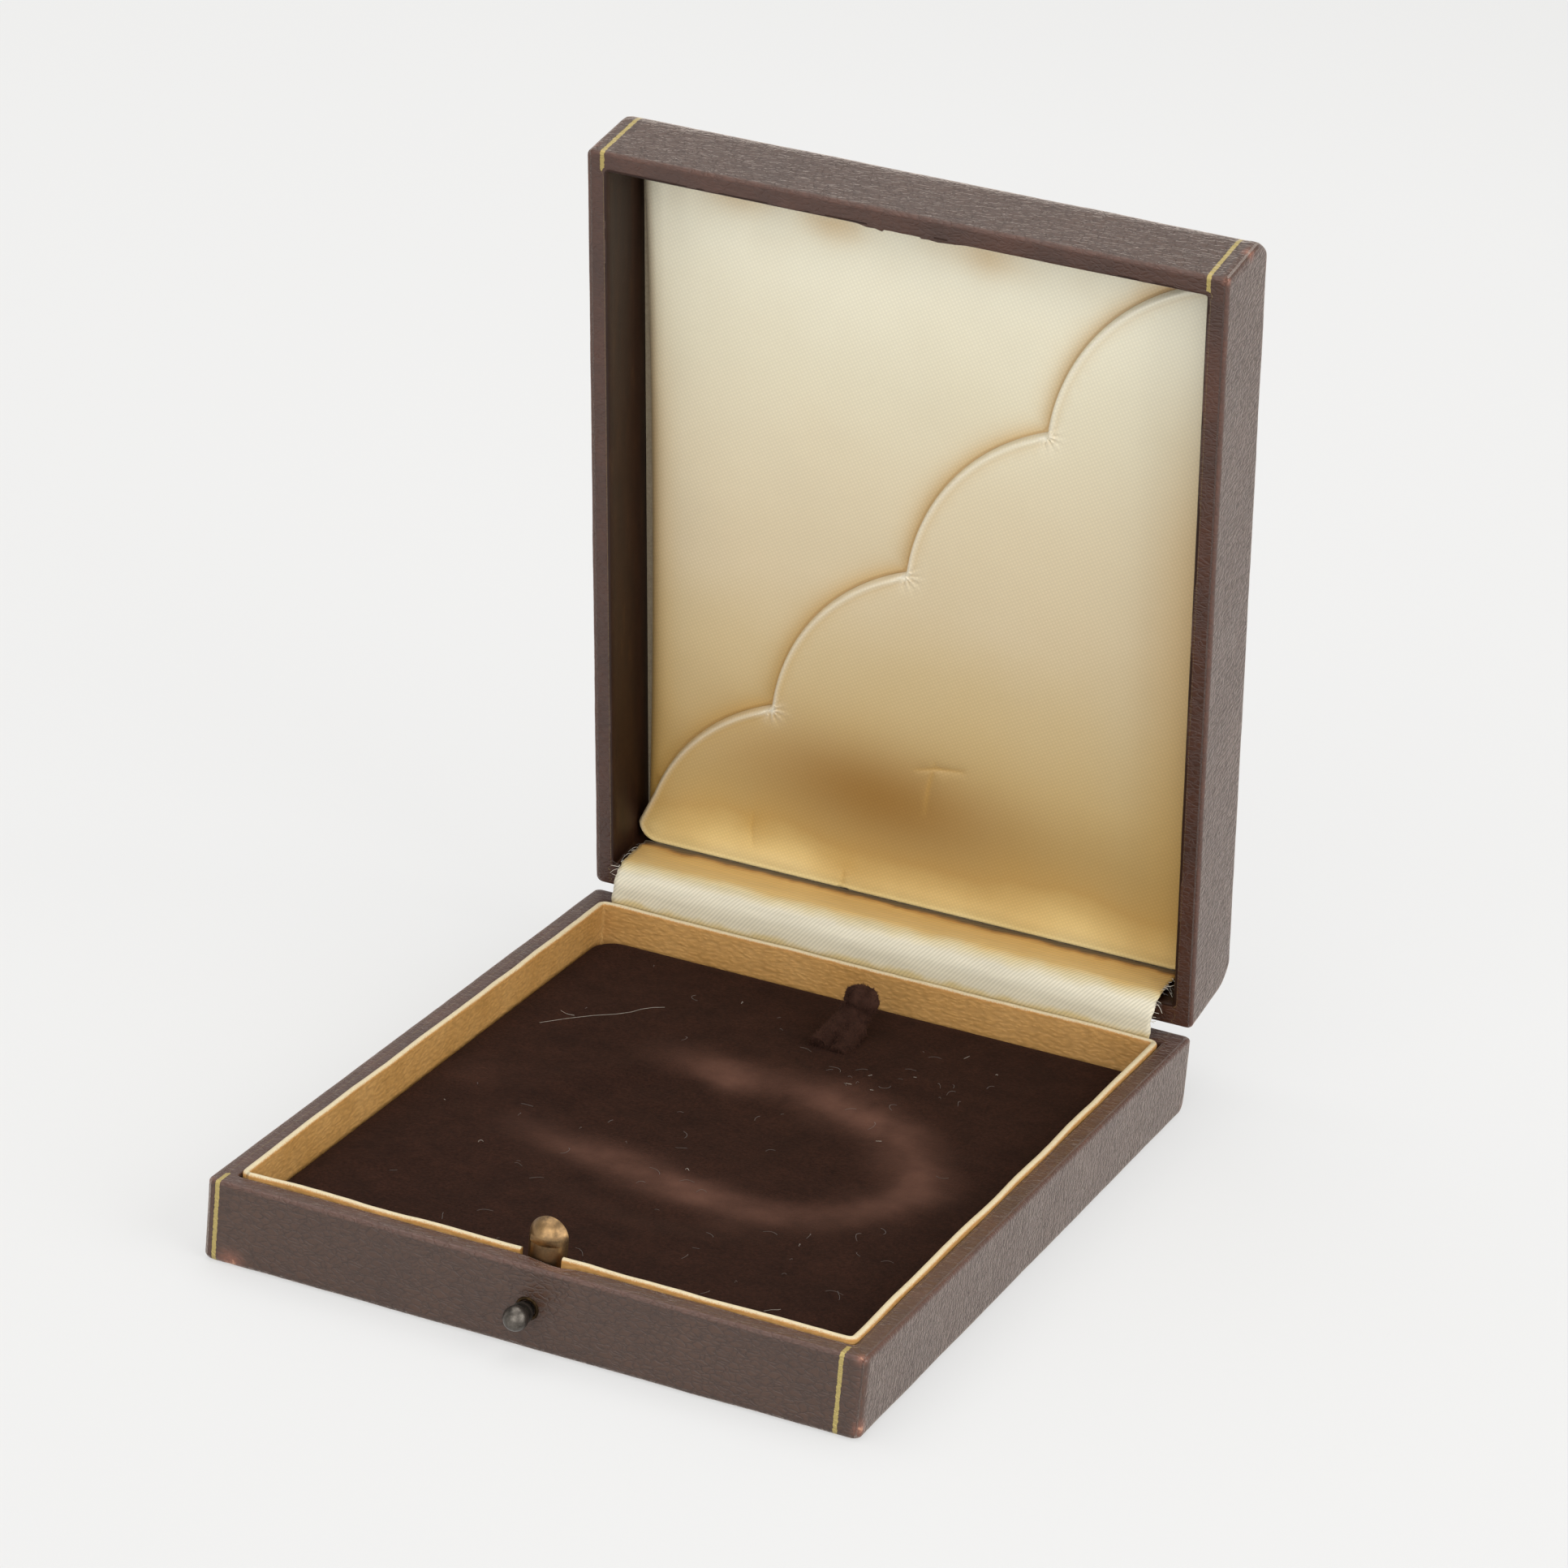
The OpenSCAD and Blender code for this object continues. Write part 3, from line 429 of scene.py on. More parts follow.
def ribbon_satin():
    """Narrow-woven satin ribbon, its colour painted light along it: cream where it stands up to the light, a
    painted gold reflection where it bends back, and deep brown painted shade in the crease below the panel.
    Its slanting ribs are really 0.3 mm apart and are drawn 0.45 mm apart so that they show."""
    finish, put, place = new_finish("ribbon_satin")
    run = put("Attribute", attribute_name="run")["Fac"]
    change = put("TexNoise", {"Vector": place, "Scale": 0.25, "Detail": 3.0})["Fac"]
    wavy = put("Math", {0: change, 1: 2.0, 2: run}, operation="MULTIPLY_ADD")[0]
    tone = put("ValToRGB", {0: put("MapRange", {0: wavy, 1: 1.0, 2: 16.0})[0]}, [
        (0.0, "#cdb988"), (0.05, "#d6cdb4"), (0.28, "#ded6bf"), (0.38, "#dfd0a6"), (0.47, "#dfbf80"),
        (0.74, "#d9b069"), (0.79, "#bd8b43"), (0.82, "#82541e"), (0.85, "#432808"),
        (1.0, "#301b09")])["Color"]
    slanted = put("Mapping", {"Vector": place, "Rotation": (0, 0, math.radians(38))})[0]
    ribs = put("TexWave", {"Vector": slanted, "Scale": 1 / WAVES_PER_SCALE / RIBBON_TWILL,
                           "Distortion": 0.9, "Detail": 2.0, "Detail Scale": 0.5})["Fac"]
    # Painted sheen: soft streaks, lighter and darker, drawn out along the ribbon.
    streaky = put("Mapping", {"Vector": place, "Scale": (0.05, 0.35, 1)})[0]
    mottled = put("TexNoise", {"Vector": streaky, "Scale": 2.0, "Detail": 4.0, "Roughness": 0.6})["Fac"]
    shine = put("MapRange", {0: mottled, 1: 0.3, 2: 0.7, 3: 0.7, 4: 0.82})[0]
    woven = put("Math", {0: ribs, 1: 0.2, 2: shine}, operation="MULTIPLY_ADD")[0]
    tone = put("Mix", {0: 1.0, 6: tone, 7: woven}, data_type="RGBA", blend_type="MULTIPLY")[2]
    weave = put("Bump", {"Height": ribs, "Distance": 0.04 * MM, "Strength": 0.6})[0]
    put("OutputMaterial", {"Surface": put("BsdfPrincipled", {
        "Base Color": tone, "Roughness": 0.36, "Normal": weave, "IOR": 1.5,
        "Sheen Weight": 0.2, "Sheen Roughness": 0.3, "Sheen Tint": linear("#fff3dc")})["BSDF"]})
    return finish


def smooth_lining():
    """Thin coated paper pasted on the lid's inner walls: smooth, dark brown, with dull rubbed streaks."""
    finish, put, place = new_finish("smooth_lining_paper")
    stretched = put("Mapping", {"Vector": place, "Scale": (1, 0.25, 1.4)})[0]
    streak = put("TexNoise", {"Vector": stretched, "Scale": 0.5, "Detail": 6.0, "Roughness": 0.65})["Fac"]
    fine = put("TexNoise", {"Vector": place, "Scale": 3.0, "Detail": 4.0})["Fac"]
    tone = put("ValToRGB", {0: streak}, [(0.3, "#1f0d05"), (0.6, "#2b1508"), (0.8, "#3c2611")])["Color"]
    pores = put("Bump", {"Height": fine, "Distance": 0.04 * MM, "Strength": 0.5})[0]
    put("OutputMaterial", {"Surface": put("BsdfPrincipled", {
        "Base Color": tone, "Roughness": 0.5, "Normal": pores, "IOR": 1.5,
        "Specular IOR Level": 0.3})["BSDF"]})
    return finish


def metal(name, bright, dull, roughness, spot_size):
    """A plated or solid metal part, polished once and tarnished since: dull spots over a soft shine."""
    finish, put, place = new_finish(name, flat=False)
    spots = put("TexNoise", {"Vector": place, "Scale": 1 / spot_size, "Detail": 6.0, "Roughness": 0.7})["Fac"]
    scratches = put("TexNoise", {"Vector": place, "Scale": 9.0, "Detail": 4.0})["Fac"]
    tone = put("ValToRGB", {0: spots}, [(0.35, bright), (0.68, dull)])["Color"]
    shine = put("MapRange", {0: spots, 1: 0.3, 2: 0.75, 3: roughness, 4: roughness + 0.3})[0]
    dents = put("Bump", {"Height": scratches, "Distance": 0.02 * MM, "Strength": 0.4})[0]
    put("OutputMaterial", {"Surface": put("BsdfPrincipled", {
        "Base Color": tone, "Metallic": 1.0, "Roughness": shine, "Normal": dents})["BSDF"]})
    return finish


def wood():
    """Planed limewood: pale, with faint straight grain 1.5 mm apart along the wall."""
    finish, put, place = new_finish("planed_limewood", flat=False)
    drawn = put("Mapping", {"Vector": place, "Scale": (0.08, 0.08, 0.7)})[0]
    grain = put("TexNoise", {"Vector": drawn, "Scale": 1.0, "Detail": 6.0, "Roughness": 0.6})["Fac"]
    tone = put("ValToRGB", {0: grain}, [(0.3, "#8d6b45"), (0.7, "#b8966a")])["Color"]
    put("OutputMaterial", {"Surface": put("BsdfPrincipled", {"Base Color": tone, "Roughness": 0.7})["BSDF"]})
    return finish


def board(name, low_tone, high_tone):
    """Pressed grey-brown board or sugar paper: matt, with fibres a few tenths of a millimetre wide."""
    finish, put, place = new_finish(name, flat=False)
    fibres = put("TexNoise", {"Vector": place, "Scale": 2.5, "Detail": 6.0, "Roughness": 0.7})["Fac"]
    tone = put("ValToRGB", {0: fibres}, [(0.3, low_tone), (0.7, high_tone)])["Color"]
    nap = put("Bump", {"Height": fibres, "Distance": 0.05 * MM, "Strength": 0.5})[0]
    put("OutputMaterial", {"Surface": put("BsdfPrincipled", {
        "Base Color": tone, "Roughness": 0.9, "Normal": nap})["BSDF"]})
    return finish


def thread(name, *tones):
    """Loose cotton or silk fibre: matt, with a little sheen, its tone changing along it."""
    finish, put, place = new_finish(name, flat=False)
    change = put("TexNoise", {"Vector": place, "Scale": 0.8, "Detail": 2.0})["Fac"]
    twist = put("Mix", {0: change, 6: linear(tones[0]), 7: linear(tones[1])}, data_type="RGBA")[2]
    put("OutputMaterial", {"Surface": put("BsdfPrincipled", {
        "Base Color": twist, "Roughness": 0.7, "Sheen Weight": 0.3})["BSDF"]})
    return finish


LEATHERETTE = leatherette()
LINER_PAPER = embossed_paper()
VELVET = velvet()
SATIN = lid_satin()
RIBBON = ribbon_satin()
LINING = smooth_lining()
BRASS = metal("tarnished_brass", "#aa895f", "#5c4b3a", 0.24, 2.6)
# The eyelet's dark brass is blackened, and also painted shade for the hole round the button.
DARK_BRASS = metal("blackened_and_shaded_brass", "#453521", "#221a12", 0.4, 1.0)
NICKEL = metal("dull_nickel_plate", "#716b64", "#3d3935", 0.26, 1.2)
STEEL = metal("drawn_steel", "#8f8a82", "#5f564a", 0.35, 1.0)
LIMEWOOD = wood()
CARD = board("pressed_card", "#8a7c66", "#a89a80")
SUGAR_PAPER = board("brown_sugar_paper", "#3a2d25", "#4a3b31")
PALE_THREAD = thread("pale_thread", "#e2ddd0", "#a79c8a")
DARK_THREAD = thread("dark_thread", "#1f1a18", "#4a423c")
LINT = thread("grey_lint", "#665c54", "#3a322d")


# ---------------------------------------------------------------- leather covers

LEATHER_THICK = 0.35
COVER_CORNER = 0.9
OPENING_CORNER = 0.4
# Radii over the rim and down inside it, how far the leather is turned in, and how far back the
# tooled lines go
RIM_ROUND = 0.45
INNER_ROUND = 0.25
TURN_IN = 3.0
FRONT_RIM = 3.0
# The base's leather keeps this far off the table
FLOOR_GAP = 0.02
# A mark that counts from a line holds this where the line isn't near
FAR = 9.0
# The torn bump in the lid's front rim: where it rises, where it falls, how far it stands out, and
# the share of it that is left beside the catch
TORN_RISE = (-6.5, -4.0)
TORN_FALL = (7.0, 9.0)
TORN_OUT = 0.35
TORN_AT_CATCH = 0.35
# The hollow that the button's use has pressed in the base's rim: place, half width and depth
PRESSED_X = 2.0
PRESSED_HALF = 2.6
PRESSED_DEPTH = 0.45
# Where the lid's leather laps over itself at the front, and how much the lap stands out
LAP_X = 42.5
LAP_OUT = 0.14
# Rubbed places as (x, y, z, radius, strength); on the lid z is the depth below its rim
BASE_RUBS = [(43.2, -55.7, 10.95, 0.9, 0.9), (43.9, -55.5, 1.6, 1.1, 1.0), (-40.2, -55.8, 0.4, 1.9, 0.95),
             (-43.8, -55.6, 10.8, 0.8, 0.7), (43.9, 55.4, 0.8, 1.3, 0.9), (-43.9, 55.4, 0.8, 1.3, 0.9),
             (2.3, -54.2, 10.9, 2.0, 0.45)]
LID_RUBS = [(43.6, -55.9, 8.0, 1.1, 0.95), (43.6, -55.6, 0.3, 0.7, 0.8), (-43.6, -55.6, 1.5, 0.8, 0.8),
            (-43.7, -54.6, 12.6, 1.2, 0.85), (43.7, 54.8, 14.0, 1.3, 0.9), (-43.7, 54.8, 14.0, 1.3, 0.9),
            (43.7, -52.0, 14.3, 1.1, 0.8), (43.8, 55.7, 1.0, 1.0, 0.8), (-43.8, 55.7, 1.0, 1.0, 0.8)]


def rubbed_there(spots, rubs):
    """How much each point is rubbed, from the list of rubbed places."""
    worn = [strength * hump(gap_to(spots, place), radius) for *place, radius, strength in rubs]
    return np.max(worn, axis=0)


def edge_inset(radius, up):
    """How far a rounded edge stands back from the wall at a height above the closed face."""
    return radius - math.sqrt(radius ** 2 - (radius - up) ** 2) if up < radius else 0.0


def cover_rings(low, high, radii, opening, closed):
    """Rings from the closed face, round its edge, up the walls, over the rim and down inside it.

    Each is its outline, its height, how rubbed it is, and how much it takes of the rims' redder copy of the
    dye, which is painted light."""
    height = high[2] - low[2]
    open_low, open_high = opening[0][:2], opening[1][:2]
    rings = []

    def add(low_xy, high_xy, corner, up, rubbed, rim):
        spots, nearness = rounded_ring(low_xy, high_xy, corner)
        rings.append((spots, up, np.maximum(0.22 * nearness * (1 - rim), rubbed), rim))

    turns = np.linspace(0, math.pi / 2, 7)
    levels = sorted({round(r * (1 - math.cos(t)), 3) for r in radii for t in turns})
    wall = list(np.arange(max(radii) + 0.9, height - 2.4, 1.2)) + [height - d for d in (1.9, 1.3, 0.85, 0.6)]
    for up in levels + wall:
        front, back, side = (edge_inset(r, up) for r in radii)
        rubbed = 0.25 * max(math.exp(-(up / (0.6 * radii[2])) ** 2), math.exp(-((height - up) / 0.5) ** 2))
        add((low[0] + side, low[1] + front), (high[0] - side, high[1] - back), COVER_CORNER, up, rubbed, 0)
    for turn in np.linspace(0, math.pi / 2, 5):
        inset = RIM_ROUND * (1 - math.cos(turn))
        add(low[:2] + inset, high[:2] - inset, COVER_CORNER,
            height - RIM_ROUND + RIM_ROUND * math.sin(turn), 0.25, math.sin(turn))
    outer = rings[-1][0]
    inner, _ = rounded_ring(open_low - INNER_ROUND, open_high + INNER_ROUND, OPENING_CORNER + INNER_ROUND)
    for part in (0.12, 0.3, 0.55, 0.8, 1.0):
        rings.append((outer + (inner - outer) * part, height, 0.2 * math.exp(-part * 6), 1))
    for turn in np.linspace(0, math.pi / 2, 4)[1:]:
        grow = INNER_ROUND * (1 - math.sin(turn))
        add(open_low - grow, open_high + grow, OPENING_CORNER + grow,
            height - INNER_ROUND * (1 - math.cos(turn)), 0.15, 1)
    for drop in (1.0, 2.0, TURN_IN):
        add(open_low, open_high, OPENING_CORNER, height - drop, 0.0, 1)

    first = rings[0][0]
    if closed:
        start = (first.max(0) + first.min(0)) / 2
        parts = (0.03, 0.15, 0.3, 0.45, 0.6, 0.72, 0.82, 0.9, 0.95, 0.98)
    else:
        start, _ = rounded_ring(open_low, open_high, OPENING_CORNER)
        parts = (0.0, 0.3, 0.7)
    return [(start + (first - start) * part, 0.0, 0.0, 0) for part in parts] + rings


def point_normals(spots, faces):
    skin = bmesh.new()
    points = [skin.verts.new(spot) for spot in spots]
    for face in faces:
        skin.faces.new([points[i] for i in face])
    skin.normal_update()
    normals = np.array([point.normal for point in points])
    skin.free()
    return normals


def leather_cover(name, node, body, radii, tooling, hinge_cut, rubs):
    """One leather skin, with its tooled lines, rubbed edges and the gaps for the catch and the hinge.

    radii are those of the closed face's front, back and side edges, and tooling the two lines' places."""
    on_lid = body == "lid"
    (low, high), opening = (LID, LID_OPENING) if on_lid else (BASE, BASE_OPENING)
    height = high[2] - low[2]
    inner_front = opening[0][1] + 1
    outlines, ups, rubbed, rims = zip(*cover_rings(low, high, radii, opening, closed=on_lid))
    count = len(outlines[0])
    spots = stacked(outlines, ups)
    rubbed = np.concatenate([share * np.ones(count) for share in rubbed])
    first_rim = next(i for i, rim in enumerate(rims) if rim > 0)
    turned_in = next(i for i in range(first_rim + 7, len(ups)) if ups[i] < height - 0.01)

    faces = ring_quads(len(ups), count)
    across, along, up = face_middles(spots, faces).T
    rows = np.array(faces)[:, 0] // count
    at_hinge = (along > opening[1][1] - 1) & (np.abs(across) < HINGE_HALF)
    at_catch = (along < inner_front) & (np.abs(across) < CATCH_HALF)
    cut = at_hinge & ((up > height - hinge_cut) | (rows >= first_rim))
    cut |= at_catch & (rows >= turned_in - 1) & (up < height - 0.3)
    faces = [face for face, gone in zip(faces, cut) if not gone]
    if on_lid:
        faces.append(tuple(range(count))[::-1])

    x, y, z = spots.T
    rows = np.arange(len(spots)) // count
    line = np.where(x < 0, x - tooling[0], tooling[1] - x)
    on_front = (y < low[1] + FRONT_RIM) & ((y < low[1] + 0.01) | (z > height - 0.5) | (z < max(radii)))
    line = np.where(on_front, line, -FAR * np.sign(0.001 - line))
    line = np.where(rows >= turned_in - 1, FAR, line)
    lap = np.full(len(spots), FAR)
    push = uneven(spots, 9, 0.06, 1) + uneven(spots, 2.2, 0.025, 2)
    if on_lid:
        z[:] = height - z
        faces = [face[::-1] for face in faces]
        torn = smooth_step(*TORN_RISE, x) * (1 - smooth_step(*TORN_FALL, x))
        torn *= np.where(np.abs(x) < CATCH_HALF, TORN_AT_CATCH, 1)
        at_inner_edge = (rows >= turned_in - 2) & (y < inner_front)
        y += np.where(at_inner_edge, TORN_OUT * torn * (1 + uneven(spots, 1.2, 0.8, 3)), 0)
        on_lap = (y < low[1] + 0.6) & (z > 0.4)
        lap = np.where(on_lap, x - LAP_X, FAR)
        push += np.where(on_lap, LAP_OUT * smooth_step(LAP_X - 0.6, LAP_X + 0.2, x), 0)
    else:
        on_rim = (z > height - 0.6) & (y < inner_front)
        pressed = hump(x - PRESSED_X, PRESSED_HALF) * smooth_step(low[1] + 0.3, opening[0][1], y)
        z -= np.where(on_rim, PRESSED_DEPTH * pressed, 0)
    rubbed = np.maximum(rubbed, rubbed_there(spots, rubs))
    on_side = (np.abs(x) > high[0] - 0.5)[:, None]
    grain_run = np.where(on_side, spots[:, [2, 1, 0]], spots)
    spots = spots + point_normals(spots, faces) * push[:, None]
    if not on_lid:
        spots[:, 2] = np.maximum(spots[:, 2], low[2] + FLOOR_GAP)

    marks = {"flat": grain_run, "rubbed": rubbed, "rim": np.repeat(rims, count), "line": line, "lap": lap}
    piece = make_piece(name, spots, faces, body, LEATHERETTE, marks)
    thicken(piece, "leather thickness", LEATHER_THICK, -1)
    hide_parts(node)


leather_cover("base_leather", "base_cover", "base", (1.0, 2.4, 1.0), (-42.5, 40.8), 0.4, BASE_RUBS)
leather_cover("lid_leather", "lid_cover", "lid", (4.5, 4.5, 1.0), (-41.8, 41.3), 2.1, LID_RUBS)


# ---------------------------------------------------------------- card liner of the tray

LINER_THICK = 0.9
LINER_CORNER = 1.3


def tray_liner():
    """The liner's wall, its top edge rounded and waving a little, with a gap for the catch."""
    low, high = node_box("tray_liner")
    half = LINER_THICK / 2
    shoulder = high[2] - half
    section = [(0.0, z) for z in np.linspace(low[2], shoulder, 7)]
    section += [(half - half * math.cos(a), shoulder + half * 0.8 * math.sin(a) + 0.1 * half)
                for a in np.linspace(0, math.pi, 9)]
    section += [(LINER_THICK, z) for z in np.linspace(shoulder - 0.15, low[2], 12)]
    rings, spots = wall_rings(low, high, LINER_CORNER, 0.35, section)
    faces = ring_quads(len(rings), len(rings[0]))
    in_front = low[1] + 2
    faces = [face for face, (x, y, _) in zip(faces, face_middles(spots, faces))
             if y >= in_front or abs(x) >= CATCH_HALF]
    for side in (-1, 1):
        end = (spots[:, 1] < in_front) & (np.abs(spots[:, 0] - side * CATCH_HALF) < 1e-6)
        faces.append(tuple(np.flatnonzero(end)[::side].tolist()))
    share = (spots[:, 2] - low[2]) / (high[2] - low[2])
    lengths = np.linalg.norm(np.diff(rings[0], axis=0), axis=1)
    round_wall = np.tile(np.concatenate([[0], np.cumsum(lengths)]), len(rings))
    flat = np.column_stack([round_wall, spots[:, 2], np.zeros(len(spots))])
    drop = high[2] - spots[:, 2]
    places = spots[:, :2].copy()
    spots[:, 2] += share * (uneven(places, 9, 0.16, 5) + uneven(places, 2.5, 0.05, 6) - 0.05)
    spots[:, 0] += share * uneven(places, 14, 0.22, 7)
    spots[:, 1] += share * uneven(places, 14, 0.22, 8)
    piece = make_piece("tray_wall", spots, faces, "base", LINER_PAPER,
                       {"drop": drop, "flat": flat})
    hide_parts("tray_liner")


tray_liner()


# ---------------------------------------------------------------- padded pieces

def outline_distance(spots, outline):
    """Distance of each point from a closed outline."""
    best = np.full(len(spots), 1e9)
    for start, step in zip(outline, np.roll(outline, -1, axis=0) - outline):
        squared = (step ** 2).sum()
        if squared > 1e-12:
            part = np.clip(((spots - start) @ step) / squared, 0, 1)
            best = np.minimum(best, np.linalg.norm(spots - start - part[:, None] * step, axis=1))
    return best


def along_line(places, line):
    """Distance of each place from an open line of (x, y, value) points, and the value where it is nearest."""
    best = np.full(len(places), 1e9)
    value = np.zeros(len(places))
    for start, end in zip(line, line[1:]):
        step = end[:2] - start[:2]
        part = np.clip(((places - start[:2]) @ step) / (step @ step), 0, 1)
        gap = np.linalg.norm(places - start[:2] - part[:, None] * step, axis=1)
        value = np.where(gap < best, start[2] + (end[2] - start[2]) * part, value)
        best = np.minimum(gap, best)
    return best, value


def point_inside(spot, outline):
    x, y = spot
    xs, ys = outline[:, 0], outline[:, 1]
    xe, ye = np.roll(xs, -1), np.roll(ys, -1)
    crossing = (ys > y) != (ye > y)
    where = xs[crossing] + (y - ys[crossing]) * (xe - xs)[crossing] / (ye - ys)[crossing]
    return (where > x).sum() % 2 == 1


def beside(outline, gap, least):
    """The outline moved outward by gap, without the points that come nearer to it than least times gap."""
    tangent = np.roll(outline, -1, axis=0) - np.roll(outline, 1, axis=0)
    tangent /= np.linalg.norm(tangent, axis=1)[:, None]
    band = outline + np.column_stack([tangent[:, 1], -tangent[:, 0]]) * gap
    return band[outline_distance(band, outline) > abs(gap) * least]


def evened(points, step):
    """The same closed outline with no stretch longer than step."""
    made = []
    for start, end in zip(points, points[1:] + points[:1]):
        start, end = np.array(start), np.array(end)
        pieces = max(1, int(np.linalg.norm(end - start) / step))
        made += [tuple(start + (end - start) * i / pieces) for i in range(pieces)]
    return np.array(made)


def padded_piece(name, outline, spacing, insets, top, back, body, finish, marks, dense=()):
    """A closed pad: its face follows top(places, distance from the outline), its back is flat.

    dense holds more points for the face, where it has a crease that the even spacing would miss."""
    bands = [outline] + [beside(outline, -inset, 0.93) for inset in insets]
    grid_x, grid_y = (np.arange(outline[:, k].min(), outline[:, k].max(), spacing) for k in (0, 1))
    grid = np.array([(x, y) for x in grid_x for y in grid_y])
    grid = grid[[point_inside(spot, outline) for spot in grid]]
    grid = grid[outline_distance(grid, outline) > insets[-1] + spacing * 0.5]
    if len(dense):
        dense = dense[[point_inside(spot, outline) for spot in dense]]
        dense = dense[outline_distance(dense, outline) > insets[-1] + 0.1]
        grid = grid[[np.abs(dense - spot).sum(1).min() > spacing * 0.5 for spot in grid]]
        bands.append(dense)
    flat = [Vector(spot) for spot in np.concatenate(bands + [grid])]
    result = delaunay_2d_cdt(flat, [], [list(range(len(outline)))], 1, 1e-6)
    places = np.array([tuple(spot) for spot in result[0]])
    triangles = [tuple(face) for face in result[2]]
    away = outline_distance(places, outline)
    face_z = top(places, away)
    count = len(places)
    spots = stacked((places, places), (face_z, float(back)))
    edges = dict.fromkeys(edge for a, b, c in triangles for edge in ((a, b), (b, c), (c, a)))
    walls = [(b, a, a + count, b + count) for a, b in edges if (b, a) not in edges]
    faces = triangles + [tuple(i + count for i in face[::-1]) for face in triangles] + walls
    if back > face_z.mean():
        faces = [face[::-1] for face in faces]
    values = {mark: np.tile(fill(places, away), 2) for mark, fill in marks.items()}
    return make_piece(name, spots, faces, body, finish, values, sharp=70)


def rolled(away, roll, thick):
    """Height over the edge of a rolled-over pad, from 0 at the outline to its whole thickness."""
    part = np.clip(away / roll, 0, 1)
    return thick * np.sqrt(1 - (1 - part) ** 2)


# Velvet pad. The nap stands this much over the solid's flat top, all the way to the walls
NAP_RISE = 1.4
# A watch has pressed a shallow round hollow into it
HOLLOW_MIDDLE = np.array([1.2, BASE[0][1] + 51.5])
HOLLOW_R = 26.0
HOLLOW_SLOPE = 6.0
HOLLOW_DEPTH = 0.7
# The pad is cut out behind the catch
NOTCH_HALF = CATCH_HALF + 0.6
NOTCH_BACK = BASE[0][1] + 4.95
# The painted sheen along the watch's pressed edge, as x, y and strength before its shift, and its half width
BLOOM_SHIFT = (1.2, -3.0, 0.0)
BLOOM_LINE = np.array(BLOOM_SHIFT) + np.array([
    (-22.5, 24.6, 0.0), (-16.7, 22.9, 0.2), (-11.7, 22.1, 0.55), (-6.8, 21.7, 0.85), (-2.8, 22.4, 0.4),
    (1.5, 22.6, 0.4), (6.5, 21.6, 0.85), (13.0, 19.2, 0.75), (20.0, 14.6, 0.55), (24.8, 8.0, 0.6),
    (26.6, 1.5, 0.66), (23.6, -6.5, 0.5), (17.5, -11.6, 0.42), (11.0, -14.0, 0.55), (3.3, -13.1, 0.7),
    (-3.0, -11.6, 0.6), (-8.5, -10.2, 0.5), (-15.4, -9.5, 0.5), (-21.0, -8.2, 0.28), (-28.0, -6.0, 0.0)])
BLOOM_HALF = 3.9
# Each corner's radius and steps, from the front right one round
VELVET_CORNERS = ((1.4, 6), (3.5, 8), (3.5, 8), (1.4, 6))


def velvet_height(places, away):
    """The nap's height: uneven, hollowed by the watch, and rolled down by a hair where it meets a wall."""
    hollow = 1 - smooth_step(HOLLOW_R - HOLLOW_SLOPE, HOLLOW_R + 1.5, gap_to(places, HOLLOW_MIDDLE))
    soft = uneven(places, 16, 0.16, 11) + uneven(places, 4, 0.06, 12)
    edge = 0.4 * np.exp(-away / 0.5)
    nap_top = node_box("velvet_pad")[1][2] + NAP_RISE
    return nap_top - edge - HOLLOW_DEPTH * hollow + soft * smooth_step(0, 3, away)


def velvet_pad():
    low, high = node_box("velvet_pad")
    outline = [(NOTCH_HALF, low[1])]
    for number, (radius, steps) in enumerate(VELVET_CORNERS):
        outline += round_corner(low, high, number, radius, steps)
    outline += [(-NOTCH_HALF, low[1]), (-NOTCH_HALF, NOTCH_BACK), (NOTCH_HALF, NOTCH_BACK)]

    # The pile pressed by the watch, which carries the painted sheen.
    def pressed(places, away):
        gap, strength = along_line(places, BLOOM_LINE)
        width = BLOOM_HALF * (1 + uneven(places, 7, 0.35, 13))
        faint = 0.07 * hump(gap_to(places, (-35, 0)), 5)
        return strength * hump(gap, width) * (1 + uneven(places, 3.5, 0.3, 14)) + faint

    piece = padded_piece("velvet_floor", evened(outline, 1.2), 1.0, (0.12, 0.3, 0.6, 1.1), velvet_height,
                         low[2], "base", VELVET, {"pressed": pressed})
    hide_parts("velvet_pad")


velvet_pad()

# Satin in the lid. The panel's box takes in its card
SATIN_BOX = node_box("satin_pad", on_lid=True)
PANEL_BOX = node_box("scallop_panel", on_lid=True)
PANEL_BOX[1][2] = node_box("scallop_card", on_lid=True)[1][2]
SATIN_CORNER = 2.0
SATIN_BOW = 1.1
SCALLOPS = 4
SCALLOP_START = np.array([36.9, -50.0])
SCALLOP_END = np.array([-40.3, 51.6])
SCALLOP_BULGE = 0.14
PANEL_CORNER = 3.0
# The last scallop ends this far before the panel's round corner
CORNER_CLEAR = 4.5


